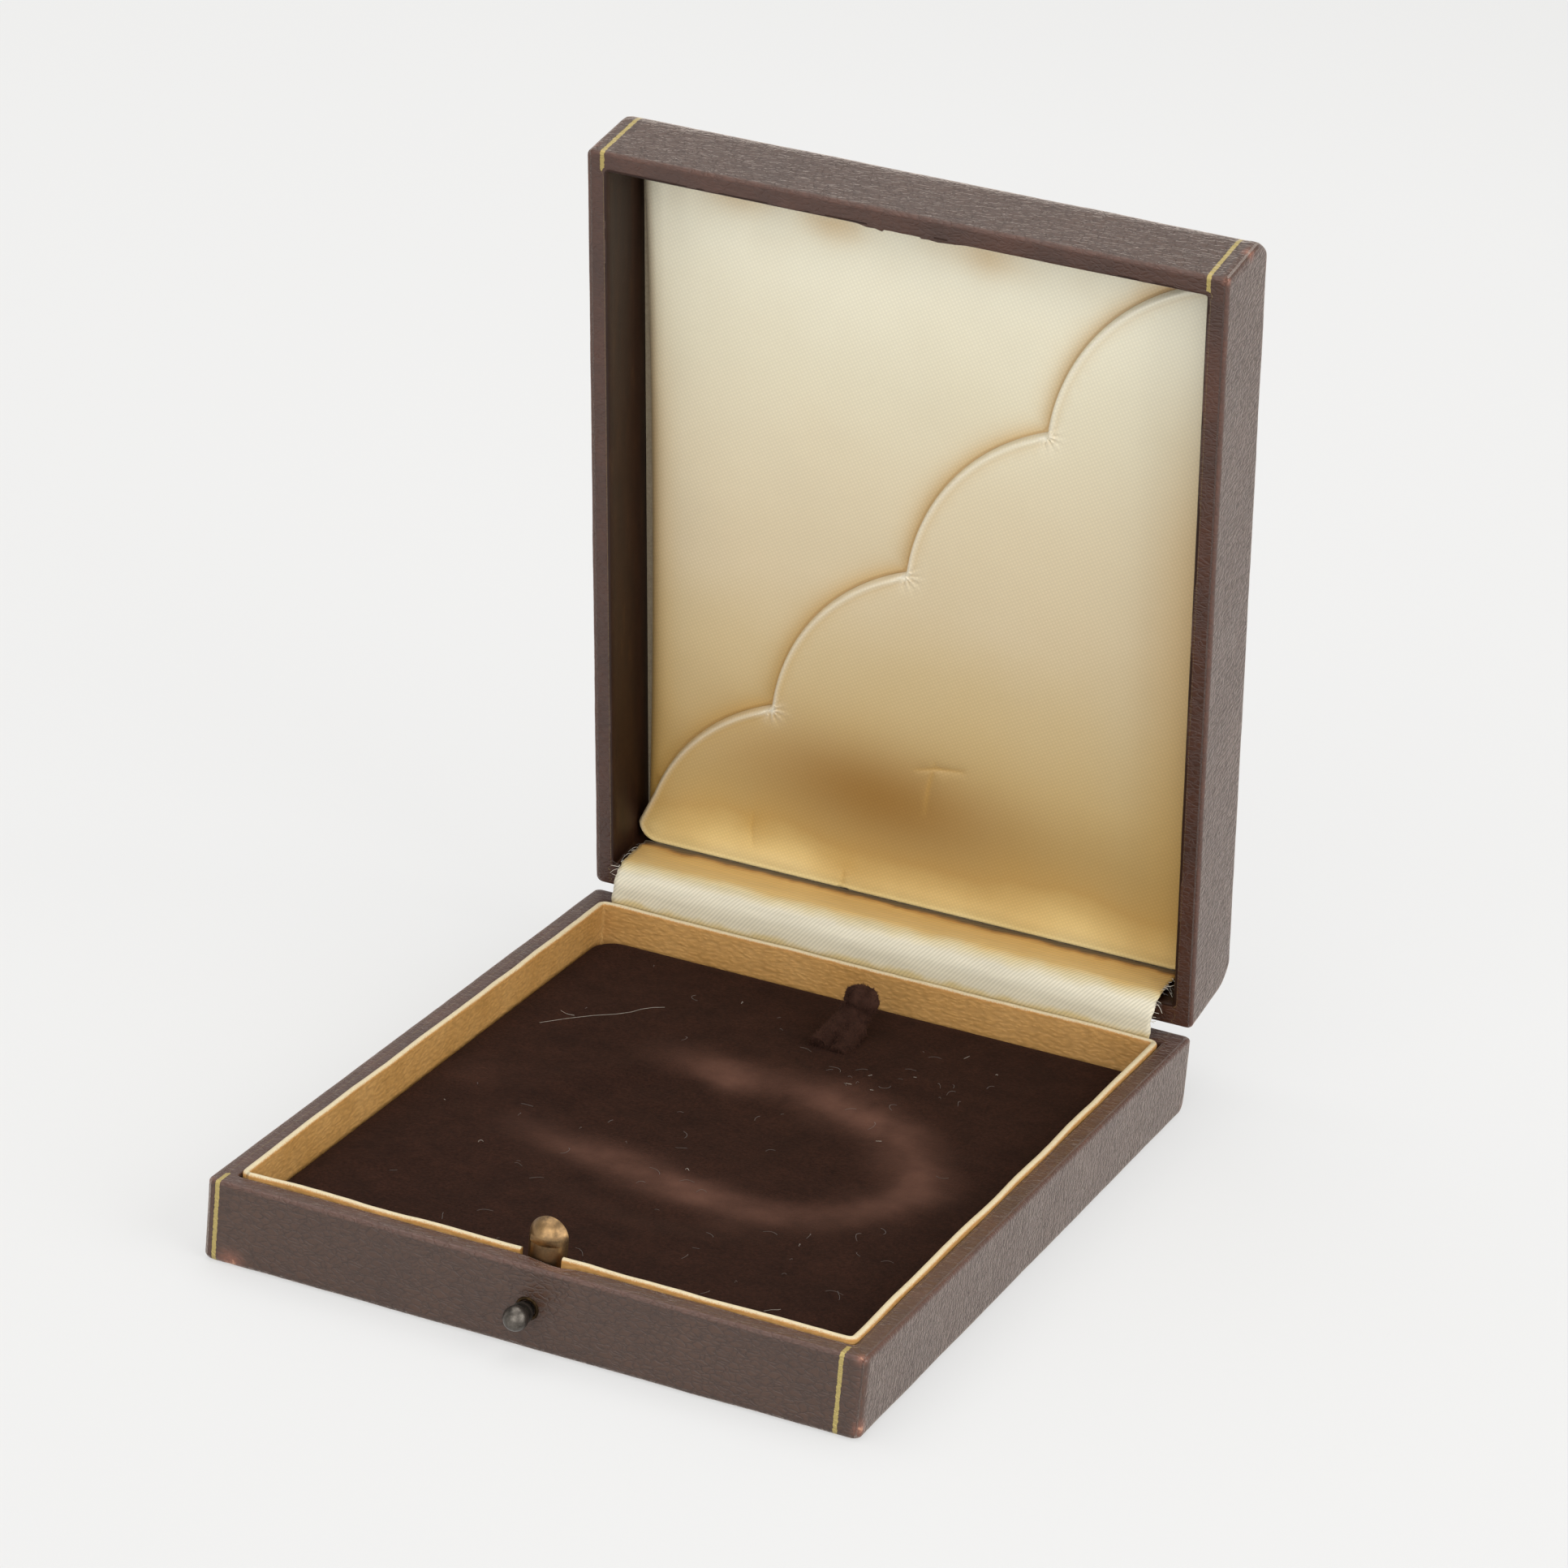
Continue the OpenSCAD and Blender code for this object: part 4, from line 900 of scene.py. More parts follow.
def scallop_edge():
    """The panel's outline: two round corners, then four scallops, the first run on to the pad's edge."""
    low, high = PANEL_BOX
    step = (SCALLOP_END - SCALLOP_START) / SCALLOPS
    chord = np.linalg.norm(step)
    along = step / chord
    outward = np.array([-along[1], along[0]])
    sag = chord * SCALLOP_BULGE
    radius = (chord ** 2 / 4 + sag ** 2) / (2 * sag)
    half = math.asin(chord / 2 / radius)
    scallops = []
    for number in range(SCALLOPS):
        centre = SCALLOP_START + step * (number + 0.5) + outward * (sag - radius)
        for turn in np.linspace(-half * (1 if number else 1.5), half, 46)[1:]:
            spot = centre + radius * (math.cos(turn) * outward + math.sin(turn) * along)
            if low[1] < spot[1] < high[1] - PANEL_CORNER - CORNER_CLEAR and low[0] < spot[0] < high[0]:
                scallops.append(tuple(spot))
    corners = [spot for number in (1, 2) for spot in round_corner(low, high, number, PANEL_CORNER, 6)]
    return corners + scallops[::-1]


PANEL_EDGE = evened(scallop_edge(), 0.9)


def painted_tray_reflection(places, away):
    """A painted reflection of the dark tray: the darkest gold, where the satin mirrors it."""
    x, y = places.T
    across = 0.15 + 0.85 * hump(x + 5, 19)
    return 0.9 * hump(y - 36.5 - 0.08 * x, 8.5) * across


# Where the satin is gathered below the lid's front rim: painted shade under its puckers
PUCKERED_SPOTS = [(9.0, -47.5), (-13.0, -48.0), (-27.0, -49.0)]


def satin_pad():
    """The satin over the lid's card, its sides pulled in between the corners and puckered at the front."""
    low, high = SATIN_BOX
    side_y = np.linspace(low[1] + SATIN_CORNER, high[1] - SATIN_CORNER, 60)
    pulled = SATIN_BOW * np.sin(np.pi * (side_y - low[1]) / (high[1] - low[1])) ** 0.6
    corners = [round_corner(low, high, number, SATIN_CORNER, 5) for number in range(4)]
    outline = (corners[0][:-1] + [(high[0] - pull, y) for pull, y in zip(pulled, side_y)] + corners[1][1:]
               + corners[2][:-1] + [(low[0] + pull, y) for pull, y in zip(pulled[::-1], side_y[::-1])]
               + corners[3][1:])
    thick = high[2] - low[2]

    def top(places, away):
        from_front = places[:, 1] - low[1]
        puckers = np.exp(-from_front / 5) * np.sin(places[:, 0] * 0.9 + 4 * uneven(places, 7, 1.0, 21))
        soft = uneven(places, 24, 0.35, 22) + uneven(places, 8, 0.14, 23) + 0.3 * puckers
        crown = 0.5 * smooth_step(0, 14, away)
        near_panel = hump(outline_distance(places, PANEL_EDGE), 1.3)
        return (high[2] - rolled(away, 2.4, thick - 0.5) - (crown + soft) * smooth_step(0, 4, away)
                + 0.12 * near_panel)

    # Painted shade: golden beside the panel and along the rolled edge, brown under the front rim and its
    # puckers, and darker down the left side where the lid's wall shades it.
    def shade(places, away):
        x, y = places.T
        beside_panel = 0.6 * np.exp(-(outline_distance(places, PANEL_EDGE) / 1.5) ** 1.4)
        folds = 0.5 * np.exp(-(y - low[1]) / 3.5) * np.clip(0.2 + uneven(places, 5, 2.2, 24), 0, 1)
        for spot_x, spot_y in PUCKERED_SPOTS:
            folds += 0.4 * np.exp(-((x - spot_x) / 4.5) ** 2 - ((y - spot_y) / 2.4) ** 2)
        sides = 0.35 * (1 - smooth_step(1.0, 7.0, x - low[0])) * smooth_step(-50, 0, y)
        return np.clip(beside_panel + 0.25 * (1 - smooth_step(0.5, 2.5, away)) + folds + sides, 0, 1)

    # Painted shade: a thin brown line in the crease along the panel's edge.
    def crease(places, away):
        return 0.75 * hump(outline_distance(places, PANEL_EDGE), 0.22)

    dense = np.concatenate([beside(PANEL_EDGE, gap, 0.9) for gap in (0.0, 0.2, 0.45, 0.9, 1.5, 2.3, -0.4)])
    piece = padded_piece("lid_satin", evened(outline, 1.4), 1.3, (0.15, 0.4, 0.8, 1.3, 2.0), top, high[2],
                         "lid", SATIN, {"shade": shade, "crease": crease, "reflected_tray": painted_tray_reflection}, dense)
    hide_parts("satin_pad")


satin_pad()

# Pressed creases in the panel's satin, as lines of (x, y, depth), its darker patches beside the creases,
# as (x, y) and radius, and the corners between its scallops
PANEL_CREASES = [np.array(line) for line in (
    [(0.5, 30.4, 0.3), (3.4, 29.6, 1.0), (7.6, 29.0, 0.4)],
    [(3.2, 28.8, 0.4), (2.4, 33.0, 0.8), (2.0, 37.2, 0.2)],
    [(-9.8, 50.0, 0.8), (-10.2, 52.0, 0.4)],
    [(-23.2, 43.3, 0.2), (-23.6, 46.0, 0.6), (-23.4, 48.6, 0.2)])]
PANEL_DARK_PATCHES = (((-9.8, 48.0), 2.6), ((-23.0, 45.0), 2.2))
SCALLOP_CUSPS = np.array([(17.6, -24.6), (-1.7, 0.8), (-21.0, 26.2)])


def crease_depth(places):
    depths = []
    for line in PANEL_CREASES:
        gap, strength = along_line(places, line)
        depths.append(strength * hump(gap, 0.35))
    return np.max(depths, axis=0)


def cusp_pucker(places):
    """Small folds that fan out from the corners between the scallops."""
    total = np.zeros(len(places))
    for cusp in SCALLOP_CUSPS:
        turn = np.arctan2(*(places - cusp).T[::-1])
        total += hump(gap_to(places, cusp), 2.0) * np.sin(turn * 11)
    return total


def scallop_panel():
    """The scalloped panel: a flat padded face with a bead along its edge, creases and puckered corners."""
    low, high = PANEL_BOX
    thick = high[2] - low[2]

    def top(places, away):
        soft = uneven(places, 30, 0.16, 31) + uneven(places, 9, 0.06, 32)
        bead = 0.08 * hump(away - 0.45, 0.3) - 0.05 * hump(away - 1.15, 0.35)
        folds = 0.16 * cusp_pucker(places) * smooth_step(0, 0.5, away)
        surface = rolled(away, 0.55, thick - 0.15) + bead + folds
        return high[2] - surface - (soft + 0.12) * smooth_step(0.9, 5, away) + 0.3 * crease_depth(places)

    # Painted highlight: a pale line along the bead of the scalloped edge, and pale puckers at the corners
    # between the scallops.
    def painted_highlight(places, away):
        near_cusp = np.max([hump(gap_to(places, cusp), 1.8) for cusp in SCALLOP_CUSPS], axis=0)
        scalloped = (places[:, 0] < high[0] - 1.5) & (places[:, 1] < high[1] - 1.5)
        bead = 0.4 * hump(away - 0.4, 0.35)
        return np.clip(bead + 0.5 * near_cusp * (0.7 + 0.5 * cusp_pucker(places)), 0, 1) * scalloped

    # Painted shade: a line inside the bead, gold down the panel's right side, and in the creases; the listed
    # darker patches are added too.
    def shade(places, away):
        dark_patch = sum(0.3 * hump(gap_to(places, spot), radius) for spot, radius in PANEL_DARK_PATCHES)
        x, y = places.T
        inner = 0.18 * hump(away - 1.15, 0.4)
        inner += 0.5 * (1 - smooth_step(0.8, 12.0, high[0] - x)) * smooth_step(-48, -5, y)
        return np.clip(inner + dark_patch * (1 + uneven(places, 2, 0.8, 33)) + 0.5 * crease_depth(places), 0, 1)

    dense = [beside(PANEL_EDGE, gap, 0.9) for gap in (-0.28, -0.75, -1.15, -1.5)]
    for line in PANEL_CREASES:
        for start, end in zip(line, line[1:]):
            step = end[:2] - start[:2]
            side = np.array([-step[1], step[0]]) / np.linalg.norm(step)
            dense.append([start[:2] + step * part + side * gap
                          for part in np.linspace(0, 1, 9)[:-1] for gap in (-0.6, -0.25, 0, 0.25, 0.6)])
    for cusp in SCALLOP_CUSPS:
        dense.append([cusp + radius * np.array((math.cos(a), math.sin(a)))
                      for radius in (0.6, 1.1, 1.7, 2.4) for a in np.linspace(0, math.tau, 45)[:-1]])
    marks = {"shade": shade, "painted_highlight": painted_highlight, "reflected_tray": painted_tray_reflection}
    piece = padded_piece("scalloped_satin", PANEL_EDGE, 1.2, (0.12, 0.28, 0.5), top, high[2],
                         "lid", SATIN, marks, np.concatenate(dense))
    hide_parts("scallop_panel", "scallop_card")


scallop_panel()


# ---------------------------------------------------------------- lid lining

LINING_THICK = 0.4
LINING_CORNER = 0.7
# How deep the lining is cut away for the hinge
LINING_CUT = 6


def lid_lining():
    """The paper on the lid's inner walls. Its uneven shift is always inward, clear of the leather."""
    low, high = node_box("lid_lining", on_lid=True)
    section = [(0.0, low[2])] + [(0.0, z) for z in np.linspace(low[2] + 0.3, high[2], 4)]
    section += [(LINING_THICK, z) for z in np.linspace(high[2], low[2] + 0.2, 12)]
    section += [(LINING_THICK * 0.6, low[2])]
    rings, spots = wall_rings(low, high, LINING_CORNER, 0.3, section)
    faces = ring_quads(len(rings), len(rings[0]), closed=True)
    faces = [face[::-1] for face, (x, y, depth) in zip(faces, face_middles(spots, faces))
             if y <= high[1] - 1 or abs(x) >= HINGE_HALF or depth >= LINING_CUT]
    spots[:, 0] += (0.05 + np.abs(uneven(spots, 10, 0.06, 41))) * np.sign(-spots[:, 0])
    piece = make_piece("lid_wall_lining", spots, faces, "lid", LINING)
    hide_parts("lid_lining")


lid_lining()


# ---------------------------------------------------------------- hinge ribbon

RIBBON_THICK = 0.2
RIBBON_ROWS = 64
RIBBON_COLUMNS = 130
# Places that the ribbon passes in the lid, as (in front of its back wall, depth below its rim)
RIBBON_IN_LID = ((1.5, 0.0), (1.2, 2.5), (0.8, 5.2), (0.3, 7.15))
FRAY_THREADS = 44
FRAY_RADIUS = 0.032


def smooth_path(points, steps):
    """A Catmull-Rom line through the points, cut into even steps, and how far along it each step is."""
    points = [np.array(point, float) for point in points]
    padded = [2 * points[0] - points[1], *points, 2 * points[-1] - points[-2]]
    line = []
    for a, b, c, d in zip(padded, padded[1:], padded[2:], padded[3:]):
        for t in np.linspace(0, 1, 20, endpoint=False):
            line.append(0.5 * (2 * b + (c - a) * t + (2 * a - 5 * b + 4 * c - d) * t ** 2
                               + (3 * b - a - 3 * c + d) * t ** 3))
    line = np.array(line + [points[-1]])
    run = np.concatenate([[0], np.cumsum(np.linalg.norm(np.diff(line, axis=0), axis=1))])
    even = np.linspace(0, run[-1], steps)
    return np.column_stack([np.interp(even, run, line[:, k]) for k in range(2)]), even


def tube(path, radius, sides):
    """Points and faces of a closed tube along a path."""
    path = np.array(path, float)
    tangents = np.gradient(path, axis=0)
    tangents /= np.linalg.norm(tangents, axis=1)[:, None]
    side = np.cross(tangents[0], (0.3, 0.9, 0.2))
    spots = []
    for spot, tangent in zip(path, tangents):
        side = side - tangent * (side @ tangent)
        side /= np.linalg.norm(side)
        other = np.cross(tangent, side)
        spots += [spot + radius * (math.cos(a) * side + math.sin(a) * other)
                  for a in (math.tau * turn / sides for turn in range(sides))]
    last = (len(path) - 1) * sides
    return spots, ring_quads(len(path), sides) + [tuple(range(sides))[::-1], tuple(range(last, last + sides))]


def loose_threads(name, paths, radius, body, finish):
    """Thin threads as one piece: each path is a list of points."""
    spots, faces = [], []
    for path in paths:
        add_part(spots, faces, *tube(path, radius, 5))
    return make_piece(name, spots, faces, body, finish)


def frayed_ends(line, across):
    """Cut threads that stand out of the ribbon's two raw ends, pale ones and dark ones."""
    draw = random.Random(5)
    for name, finish, share in (("pale_ribbon_threads", PALE_THREAD, 0.6),
                                ("dark_ribbon_threads", DARK_THREAD, 0.35)):
        paths = []
        for number in range(int(FRAY_THREADS * share)):
            side = draw.choice((-1, 1))
            x = across[-1] if side > 0 else across[0]
            y, z = line[draw.randrange(len(line) * 3 // 8, len(line) - 6)]
            reach = draw.uniform(0.3, 1.5)
            rise = draw.uniform(-1.1, 0.4)
            forward = draw.uniform(-0.3, 0.1)
            paths.append([(x + side * reach * part - side * 0.15, y + forward * part ** 2,
                           z + rise * part ** 2 * reach + 0.05) for part in np.linspace(0, 1, 5)])
        piece = loose_threads(name, paths, FRAY_RADIUS, None, finish)
        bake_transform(piece)


def hinge_ribbon():
    """The ribbon from behind the tray's liner, over its top and up to the lid's back wall."""
    low, high = node_box("hinge_ribbon")
    liner_back, liner_top = node_box("tray_liner")[1][1:]
    behind = liner_back + 0.42
    lid_back = LID_OPENING[1][1]
    in_lid = moved(ON_LID, [(0, lid_back - ahead, depth) for ahead, depth in RIBBON_IN_LID])[:, 1:]
    line, run = smooth_path([(behind, low[2] + 0.2), (behind, liner_top - 2), (behind, liner_top + 0.5),
                             (liner_back + 0.7, liner_top + 2.8), (liner_back + 1.6, liner_top + 4.3),
                             *in_lid], RIBBON_ROWS)
    across = np.linspace(low[0] - 0.6, high[0] + 0.4, RIBBON_COLUMNS)
    top_run = run[np.argmin(np.abs(line[:, 1] - liner_top))]
    spots = []
    for (y, z), length in zip(line, run):
        free = smooth_step(top_run - 1, top_run + 4, length) * (1 - smooth_step(run[-1] - 4, run[-1], length))
        for x in across:
            ragged = noise.noise(Vector((x, length * 1.3, 0))) * 0.2 if abs(x) > high[0] - 1.5 else 0
            wave = 0.14 * noise.noise(Vector((x / 9, length / 5, 3.0))) * free
            sag = -0.25 * (abs(x) / high[0]) ** 8 * free
            spots.append((x + ragged, y + wave * 0.6, z + wave + sag))
    count = len(across)
    faces = [(r * count + i, r * count + i + 1, (r + 1) * count + i + 1, (r + 1) * count + i)
             for r in range(len(line) - 1) for i in range(count - 1)]
    marks = {"run": np.repeat(run - top_run, count),
             "flat": [(x, length, 0) for length in run for x in across]}
    piece = make_piece("hinge_ribbon_cloth", spots, faces, None, RIBBON, marks)
    thicken(piece, "ribbon thickness", RIBBON_THICK, 0)
    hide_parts("hinge_ribbon")
    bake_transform(piece)
    frayed_ends(line, across)


hinge_ribbon()


# ---------------------------------------------------------------- bow post

# The post leans back and to the right, as the solid under it does
POST_FOOT = (0.9, 38.0)
POST_LEAN = math.radians(24)
POST_TILT = math.radians(14)
# Its stuffed lumps as (up, half width, half depth, half height), and its legs as (out, up)
POST_LUMPS = [(6.75, 2.5, 1.75, 2.1), (4.7, 2.3, 1.5, 1.9), (3.0, 2.65, 1.6, 1.5), (1.5, 2.8, 1.5, 1.3)]
POST_LEG = [(1.5, -1.0), (1.35, 0.8), (1.15, 2.2), (1.0, 3.4)]
POST_LEG_RADIUS = 1.4
# How far its foot comes forward for each millimetre further down
POST_SPLAY = 1.2
POST_VOXEL = 0.16
# Its loose pile: how many tufts are tried, how far they lean, their half width and their length
TUFTS = 1300
TUFT_LEAN = 0.7
TUFT_HALF = 0.05
TUFT_LENGTH = (0.22, 0.5)


def post_skin(lean):
    """The legs and lumps melted into one skin, as its points, their normals and its faces."""
    leg_top = POST_LEG[-1][1]
    spots, faces = [], []
    for side in (-1, 1):
        path = [(side * x, -POST_SPLAY * (leg_top - up), up) for x, up in POST_LEG]
        add_part(spots, faces, *tube(path, POST_LEG_RADIUS, 14))
    for up, wide, deep, tall in POST_LUMPS:
        ball = bmesh.new()
        bmesh.ops.create_icosphere(ball, subdivisions=3, radius=1.0)
        forward = POST_SPLAY * max(0, leg_top - up)
        add_part(spots, faces,
                 [(v.co.x * wide, v.co.y * deep - forward, v.co.z * tall + up) for v in ball.verts],
                 [[v.index for v in face.verts] for face in ball.faces])
        ball.free()
    core = make_piece("post_core", moved(lean, spots), faces, None, VELVET)
    remesh = core.modifiers.new("one skin", "REMESH")
    remesh.mode = "VOXEL"
    remesh.voxel_size = POST_VOXEL * MM
    skin = bpy.data.meshes.new_from_object(core.evaluated_get(bpy.context.evaluated_depsgraph_get()))
    bpy.data.objects.remove(core)
    return (np.array([v.co for v in skin.vertices]) / MM, np.array([v.normal for v in skin.vertices]),
            [tuple(p.vertices) for p in skin.polygons])


def bow_post():
    """The velvet post: a lumpy skin with short tufts of pile standing out of it."""
    foot = Vector((*POST_FOOT, node_box("velvet_pad")[1][2]))
    lean = Matrix.Translation(foot) @ Matrix.Rotation(POST_TILT, 4, "Y") @ Matrix.Rotation(-POST_LEAN, 4, "X")
    body, normals, faces = post_skin(lean)
    body += normals * (uneven(body, 1.6, 0.2, 51) + uneven(body, 0.6, 0.12, 52))[:, None]
    raised = np.clip((body[:, 2] - foot.z) / 8, 0, 1)
    worn = list(0.06 + 0.24 * raised * (0.6 + uneven(body, 1.3, 0.9, 53)))
    spots = [tuple(spot) for spot in body]
    draw = random.Random(11)
    for number in range(TUFTS):
        at = draw.randrange(len(body))
        if body[at, 2] < foot.z + 0.3:
            continue
        out = normals[at] + np.array([draw.uniform(-TUFT_LEAN, TUFT_LEAN) for axis in range(3)])
        out /= np.linalg.norm(out)
        aside = np.cross(out, (0.4, 0.3, 0.87))
        aside /= np.linalg.norm(aside)
        other = np.cross(out, aside)
        tuft = [body[at] - TUFT_HALF * out + TUFT_HALF * (math.cos(a) * aside + math.sin(a) * other)
                for a in (math.tau * turn / 3 for turn in range(3))]
        tuft.append(body[at] + out * draw.uniform(*TUFT_LENGTH))
        worn += [0.15] * 3 + [0.6]
        add_part(spots, faces, tuft, [(0, 1, 3), (1, 2, 3), (2, 0, 3), (2, 1, 0)])
    post = make_piece("velvet_post", spots, faces, "base", VELVET, {"pressed": worn})
    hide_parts("bow_post")


bow_post()


# ---------------------------------------------------------------- lint on the velvet

FIBRES = 85
FIBRES_BEFORE_POST = 20
LINT_STEPS = 6
LONG_HAIR = [(-34.4, 18.6), (-31.7, 21.6), (-29.2, 24.2), (-26.8, 26.3), (-25.4, 28.2), (-24.8, 29.9),
             (-23.7, 31.6), (-22.6, 32.8)]


def lying(path, lift):
    """A path on the velvet, raised in its middle by lift."""
    path = np.array(path, float)
    height = velvet_height(path, np.full(len(path), FAR)) + 0.04
    return np.column_stack([path, height + np.sin(np.linspace(0, math.pi, len(path))) * lift])


def velvet_lint():
    """Short curled fibres that the pile has caught, many of them before the post, and one long hair."""
    draw = random.Random(7)
    curls, specks = [], []
    for number in range(FIBRES):
        if number < FIBRES_BEFORE_POST:
            x, y = draw.uniform(5, 25), draw.uniform(21, 42)
        else:
            x, y = draw.uniform(-34, 34), draw.uniform(-45, 46)
        if abs(x - POST_FOOT[0]) < 4 and y > 34:
            continue
        heading = draw.uniform(0, math.tau)
        bend = draw.uniform(-1.2, 1.2)
        length = draw.uniform(0.5, 2.6) if number % 4 else draw.uniform(0.3, 0.6)
        path = [(x, y)]
        for step in range(LINT_STEPS):
            heading += bend * length / LINT_STEPS + draw.uniform(-0.25, 0.25)
            x += math.cos(heading) * length / LINT_STEPS
            y += math.sin(heading) * length / LINT_STEPS
            path.append((x, y))
        (curls if number % 6 else specks).append(lying(path, draw.uniform(0, 0.25)))
    for name, paths, radius, finish in (
            ("velvet_lint", curls, 0.022, LINT), ("velvet_pale_lint", specks, 0.016, PALE_THREAD),
            ("velvet_long_hair", [lying(LONG_HAIR, 0.3)], 0.014, PALE_THREAD)):
        loose_threads(name, paths, radius, "base", finish)


velvet_lint()


# ---------------------------------------------------------------- button's eyelet

BUSH_LIP = 1.4
# The lip's section in front of the leather, as (out from the bore, behind the base's front)
LIP_SECTION = [(0, 0.5), (0, 0), (0.05, -0.14), (0.18, -0.22), (0.34, -0.18), (0.45, -0.05), (0.5, 0.25),
               (0.65, 0.5)]


def button_eyelet():
    """The dark bush that the button slides in, blackened and standing in for the shade round the button's
    stem, its lip drawn down into the leather.
    """
    low, high = node_box("button_bush")
    middle_z = (low[2] + high[2]) / 2
    bore = (high[0] - low[0]) / 2 - BUSH_LIP + SEAT_GAP
    section = [(bore, high[1])] + [(bore + out, BASE[0][1] + behind) for out, behind in LIP_SECTION]
    section.append((bore + LIP_SECTION[-1][0], high[1]))
    turns = np.linspace(0, math.tau, 41)[:-1]
    spots = [(r * math.cos(a), y, middle_z + r * math.sin(a)) for r, y in section for a in turns]
    faces = [face[::-1] for face in ring_quads(len(section), len(turns), closed=True)]
    piece = make_piece("button_eyelet", spots, faces, "base", DARK_BRASS, sharp=60)
    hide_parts("button_bush")


button_eyelet()


# ---------------------------------------------------------------- nodes that keep their shape

def dress(finish, *names, bevel=0.0):
    """A node from the frame gets its finish, and a small rounding where its edges show."""
    for name in names:
        node = frame["nodes"][name]
        node.data.materials.clear()
        node.data.materials.append(finish)
        if bevel:
            edge = node.modifiers.new("worn edges", "BEVEL")
            edge.width = bevel * MM
            edge.segments = 3
            edge.limit_method = "ANGLE"
            edge.angle_limit = math.radians(35)


dress(LIMEWOOD, "base_frame", "base_board", "lid_frame", "lid_board")
dress(CARD, "pad_board", "satin_card")
dress(SUGAR_PAPER, "base_bottom_sheet")
dress(BRASS, "catch_body", "keeper_plate")
dress(BRASS, "catch_tongue", bevel=0.08)
dress(NICKEL, "push_button")
dress(STEEL, "bow_post_wire", "catch_pivot_pin", "catch_spring", "catch_nails", "button_clip",
      "hinge_leaf_base", "hinge_leaf_lid", "hinge_pin", "hinge_nails_base", "hinge_nails_lid", "keeper_nails")


# ---------------------------------------------------------------- floor, light and camera

SWEEP_REACH = 8.0
# How much of the paper's own white the eye and mirrors see, so that the soft shadow stays
SWEEP_GLOW = 0.64


def studio_floor():
    """A pale sweep of paper: white to the eye and in mirrors, and it keeps the box's soft shadow."""
    finish = bpy.data.materials.new("pale_paper_sweep")
    put = emptied(finish)
    rays = put("LightPath")
    mirrored = put("Math", {0: rays["Is Glossy Ray"], 1: rays["Is Transmission Ray"]}, operation="MAXIMUM")[0]
    seen = put("Math", {0: rays["Is Camera Ray"], 1: mirrored}, operation="MAXIMUM")[0]
    share = put("Math", {0: seen, 1: SWEEP_GLOW}, operation="MULTIPLY")[0]
    paper = put("BsdfPrincipled", {
        "Base Color": linear("#d9d9d9"), "Roughness": 0.9, "Specular IOR Level": 0.1})
    back = put("SeparateXYZ", {0: put("TexCoord")["Object"]})["Y"]
    lit = put("MapRange", {0: back, 1: -0.15, 2: 0.5})[0]
    level = put("ValToRGB", {0: lit}, [(0.0, "#eeeeed"), (1.0, "#f8f8f7")])["Color"]
    glow = put("Emission", {"Color": level, "Strength": 1.0})
    put("OutputMaterial", {"Surface": put("MixShader", {0: share, 1: paper["BSDF"], 2: glow[0]})[0]})
    mesh = bpy.data.meshes.new("paper_sweep")
    corners = [(x * SWEEP_REACH, y * SWEEP_REACH, 0) for x, y in ((-1, -1), (1, -1), (1, 1), (-1, 1))]
    mesh.from_pydata(corners, [], [(0, 1, 2, 3)])
    mesh.materials.append(finish)
    floor = bpy.data.objects.new("paper_sweep", mesh)
    bpy.context.scene.collection.objects.link(floor)


def softbox(name, place, aim, size, power):
    light = bpy.data.lights.new(name, "AREA")
    light.shape = "SQUARE"
    light.size = size
    light.energy = power
    lamp = bpy.data.objects.new(name, light)
    lamp.location = place
    lamp.rotation_mode = "QUATERNION"
    lamp.rotation_quaternion = (Vector(aim) - Vector(place)).to_track_quat("-Z", "Y")
    bpy.context.scene.collection.objects.link(lamp)


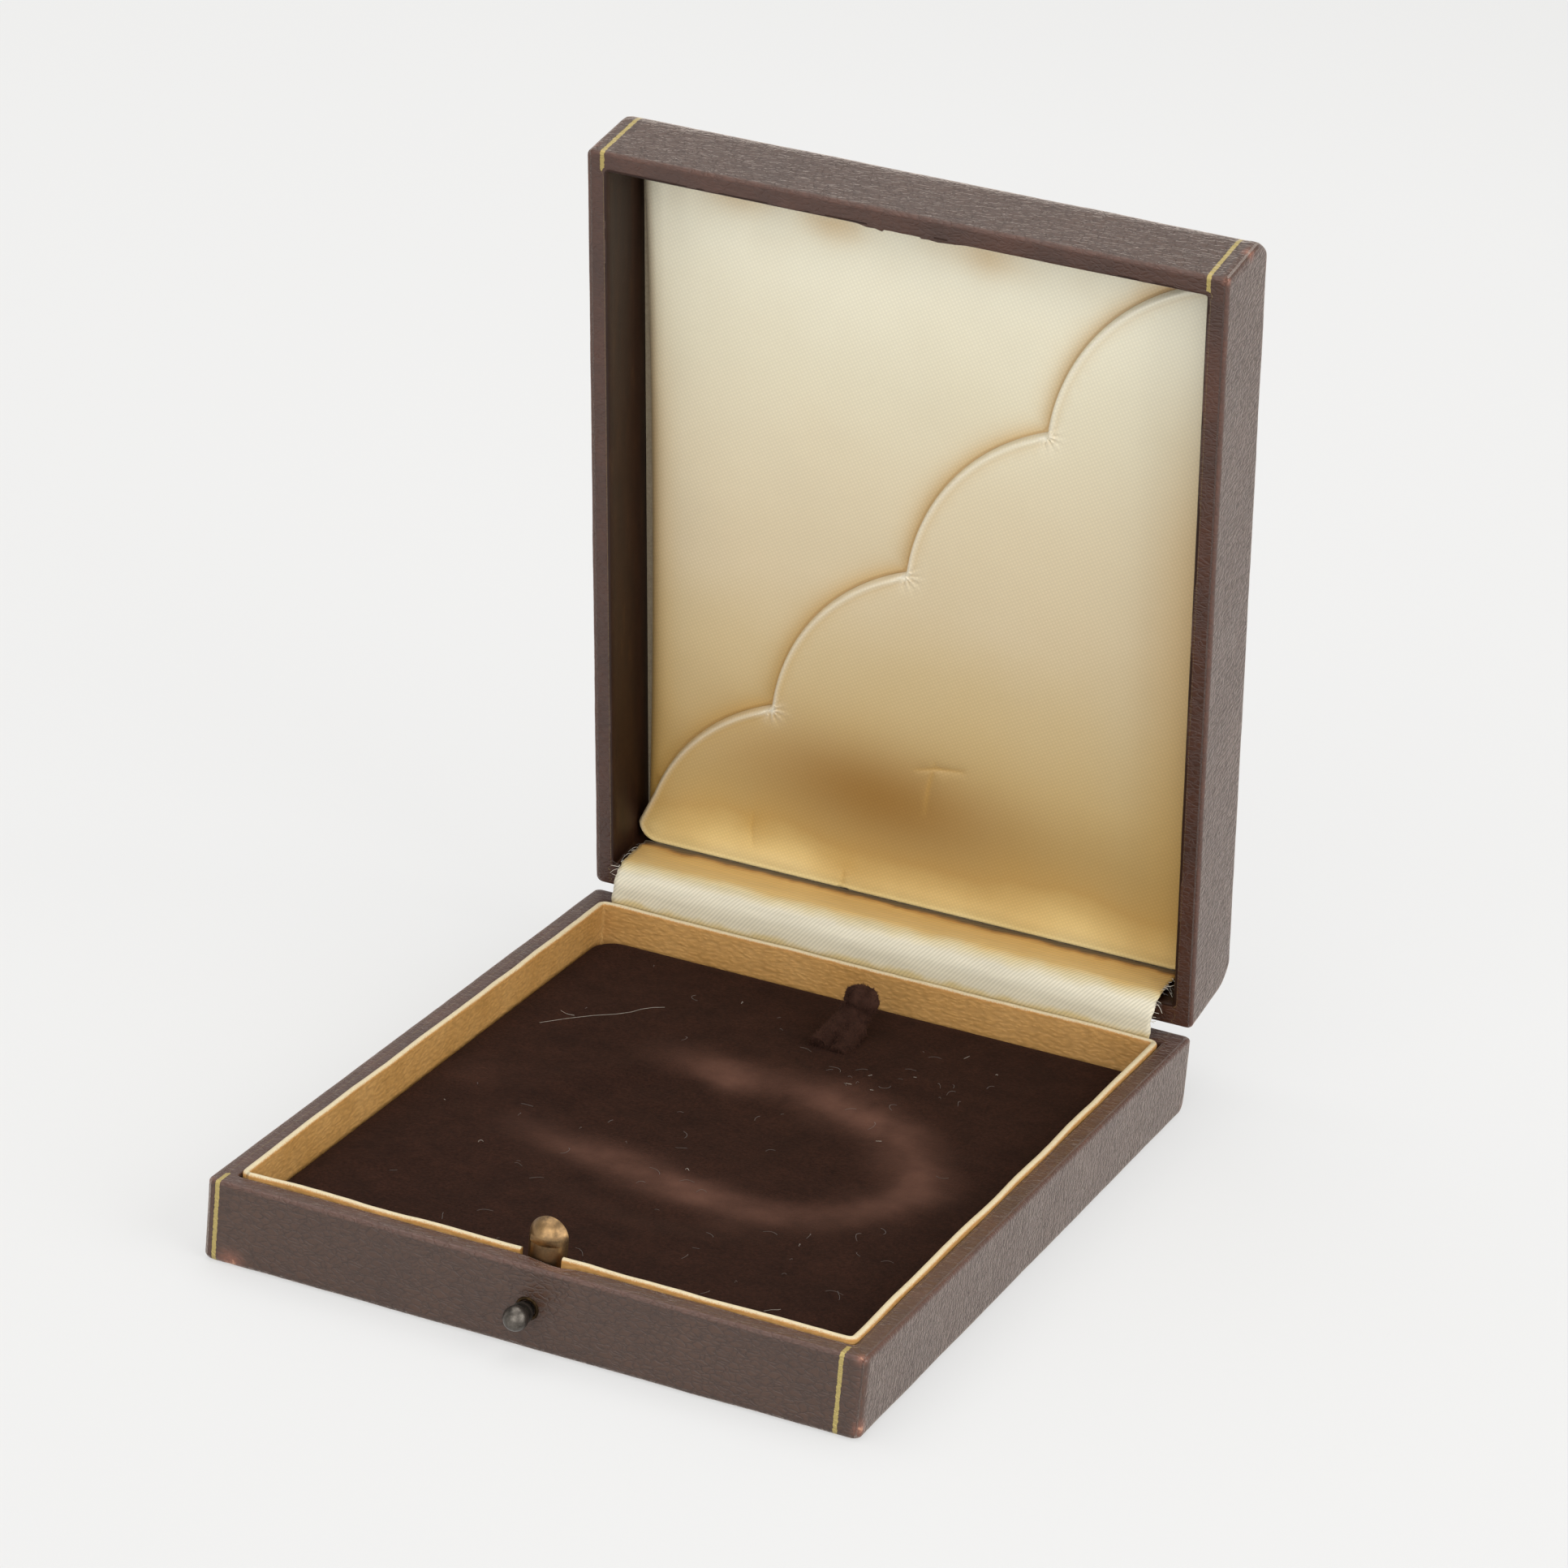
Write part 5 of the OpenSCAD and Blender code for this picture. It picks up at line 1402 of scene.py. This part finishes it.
def studio_world():
    """A pale room, white at eye level and dimmer overhead, so that upright sides mirror the white."""
    world = bpy.data.worlds.new("studio_room")
    bpy.context.scene.world = world
    put = emptied(world)
    up = put("SeparateXYZ", {0: put("TexCoord")["Generated"]})["Z"]
    height = put("MapRange", {0: up, 1: 0.12, 2: 0.4})[0]
    tone = put("ValToRGB", {0: height}, [(0.0, "#f4f4f4"), (1.0, "#bcbab7")])["Color"]
    put("OutputWorld", {"Surface": put("Background", {"Color": tone, "Strength": 1.0})[0]})


# The view was worked out from the box's straight edges in the photograph
VIEW_AZIMUTH = math.radians(21.646)
VIEW_HEIGHT = math.radians(21.380)
VIEW_ROLL = math.radians(5.363)
VIEW_DISTANCE = 757.0
VIEW_AIM = Vector((4.52, 0.0, 56.24))
VIEW_LENS = 139.25
SENSOR = 36.0


def photo_camera():
    level = Vector((math.cos(VIEW_AZIMUTH), math.sin(VIEW_AZIMUTH), 0))
    back = Vector((math.sin(VIEW_AZIMUTH) * math.cos(VIEW_HEIGHT),
                   -math.cos(VIEW_AZIMUTH) * math.cos(VIEW_HEIGHT), math.sin(VIEW_HEIGHT)))
    upright = back.cross(level)
    right = level * math.cos(VIEW_ROLL) + upright * math.sin(VIEW_ROLL)
    up = upright * math.cos(VIEW_ROLL) - level * math.sin(VIEW_ROLL)
    lens = bpy.data.cameras.new("photo_camera")
    lens.sensor_fit = "HORIZONTAL"
    lens.sensor_width = SENSOR
    lens.lens = VIEW_LENS
    lens.clip_start = 0.05
    lens.clip_end = 50
    camera = bpy.data.objects.new("photo_camera", lens)
    turn = Matrix((right, up, back)).transposed().to_4x4()
    camera.matrix_world = Matrix.Translation((VIEW_AIM + back * VIEW_DISTANCE) * MM) @ turn
    bpy.context.scene.collection.objects.link(camera)
    bpy.context.scene.camera = camera


studio_floor()
softbox("overhead_softbox", (-0.2, 0.1, 0.95), (0, 0, 0.03), 1.1, 5.8)
softbox("front_softbox", (0.05, -1.1, 0.55), (0, 0, 0.05), 1.2, 7.4)
softbox("right_softbox", (0.95, -0.2, 0.45), (0, 0, 0.05), 1.0, 8.3)
studio_world()
photo_camera()
bpy.context.scene.view_settings.view_transform = "Standard"
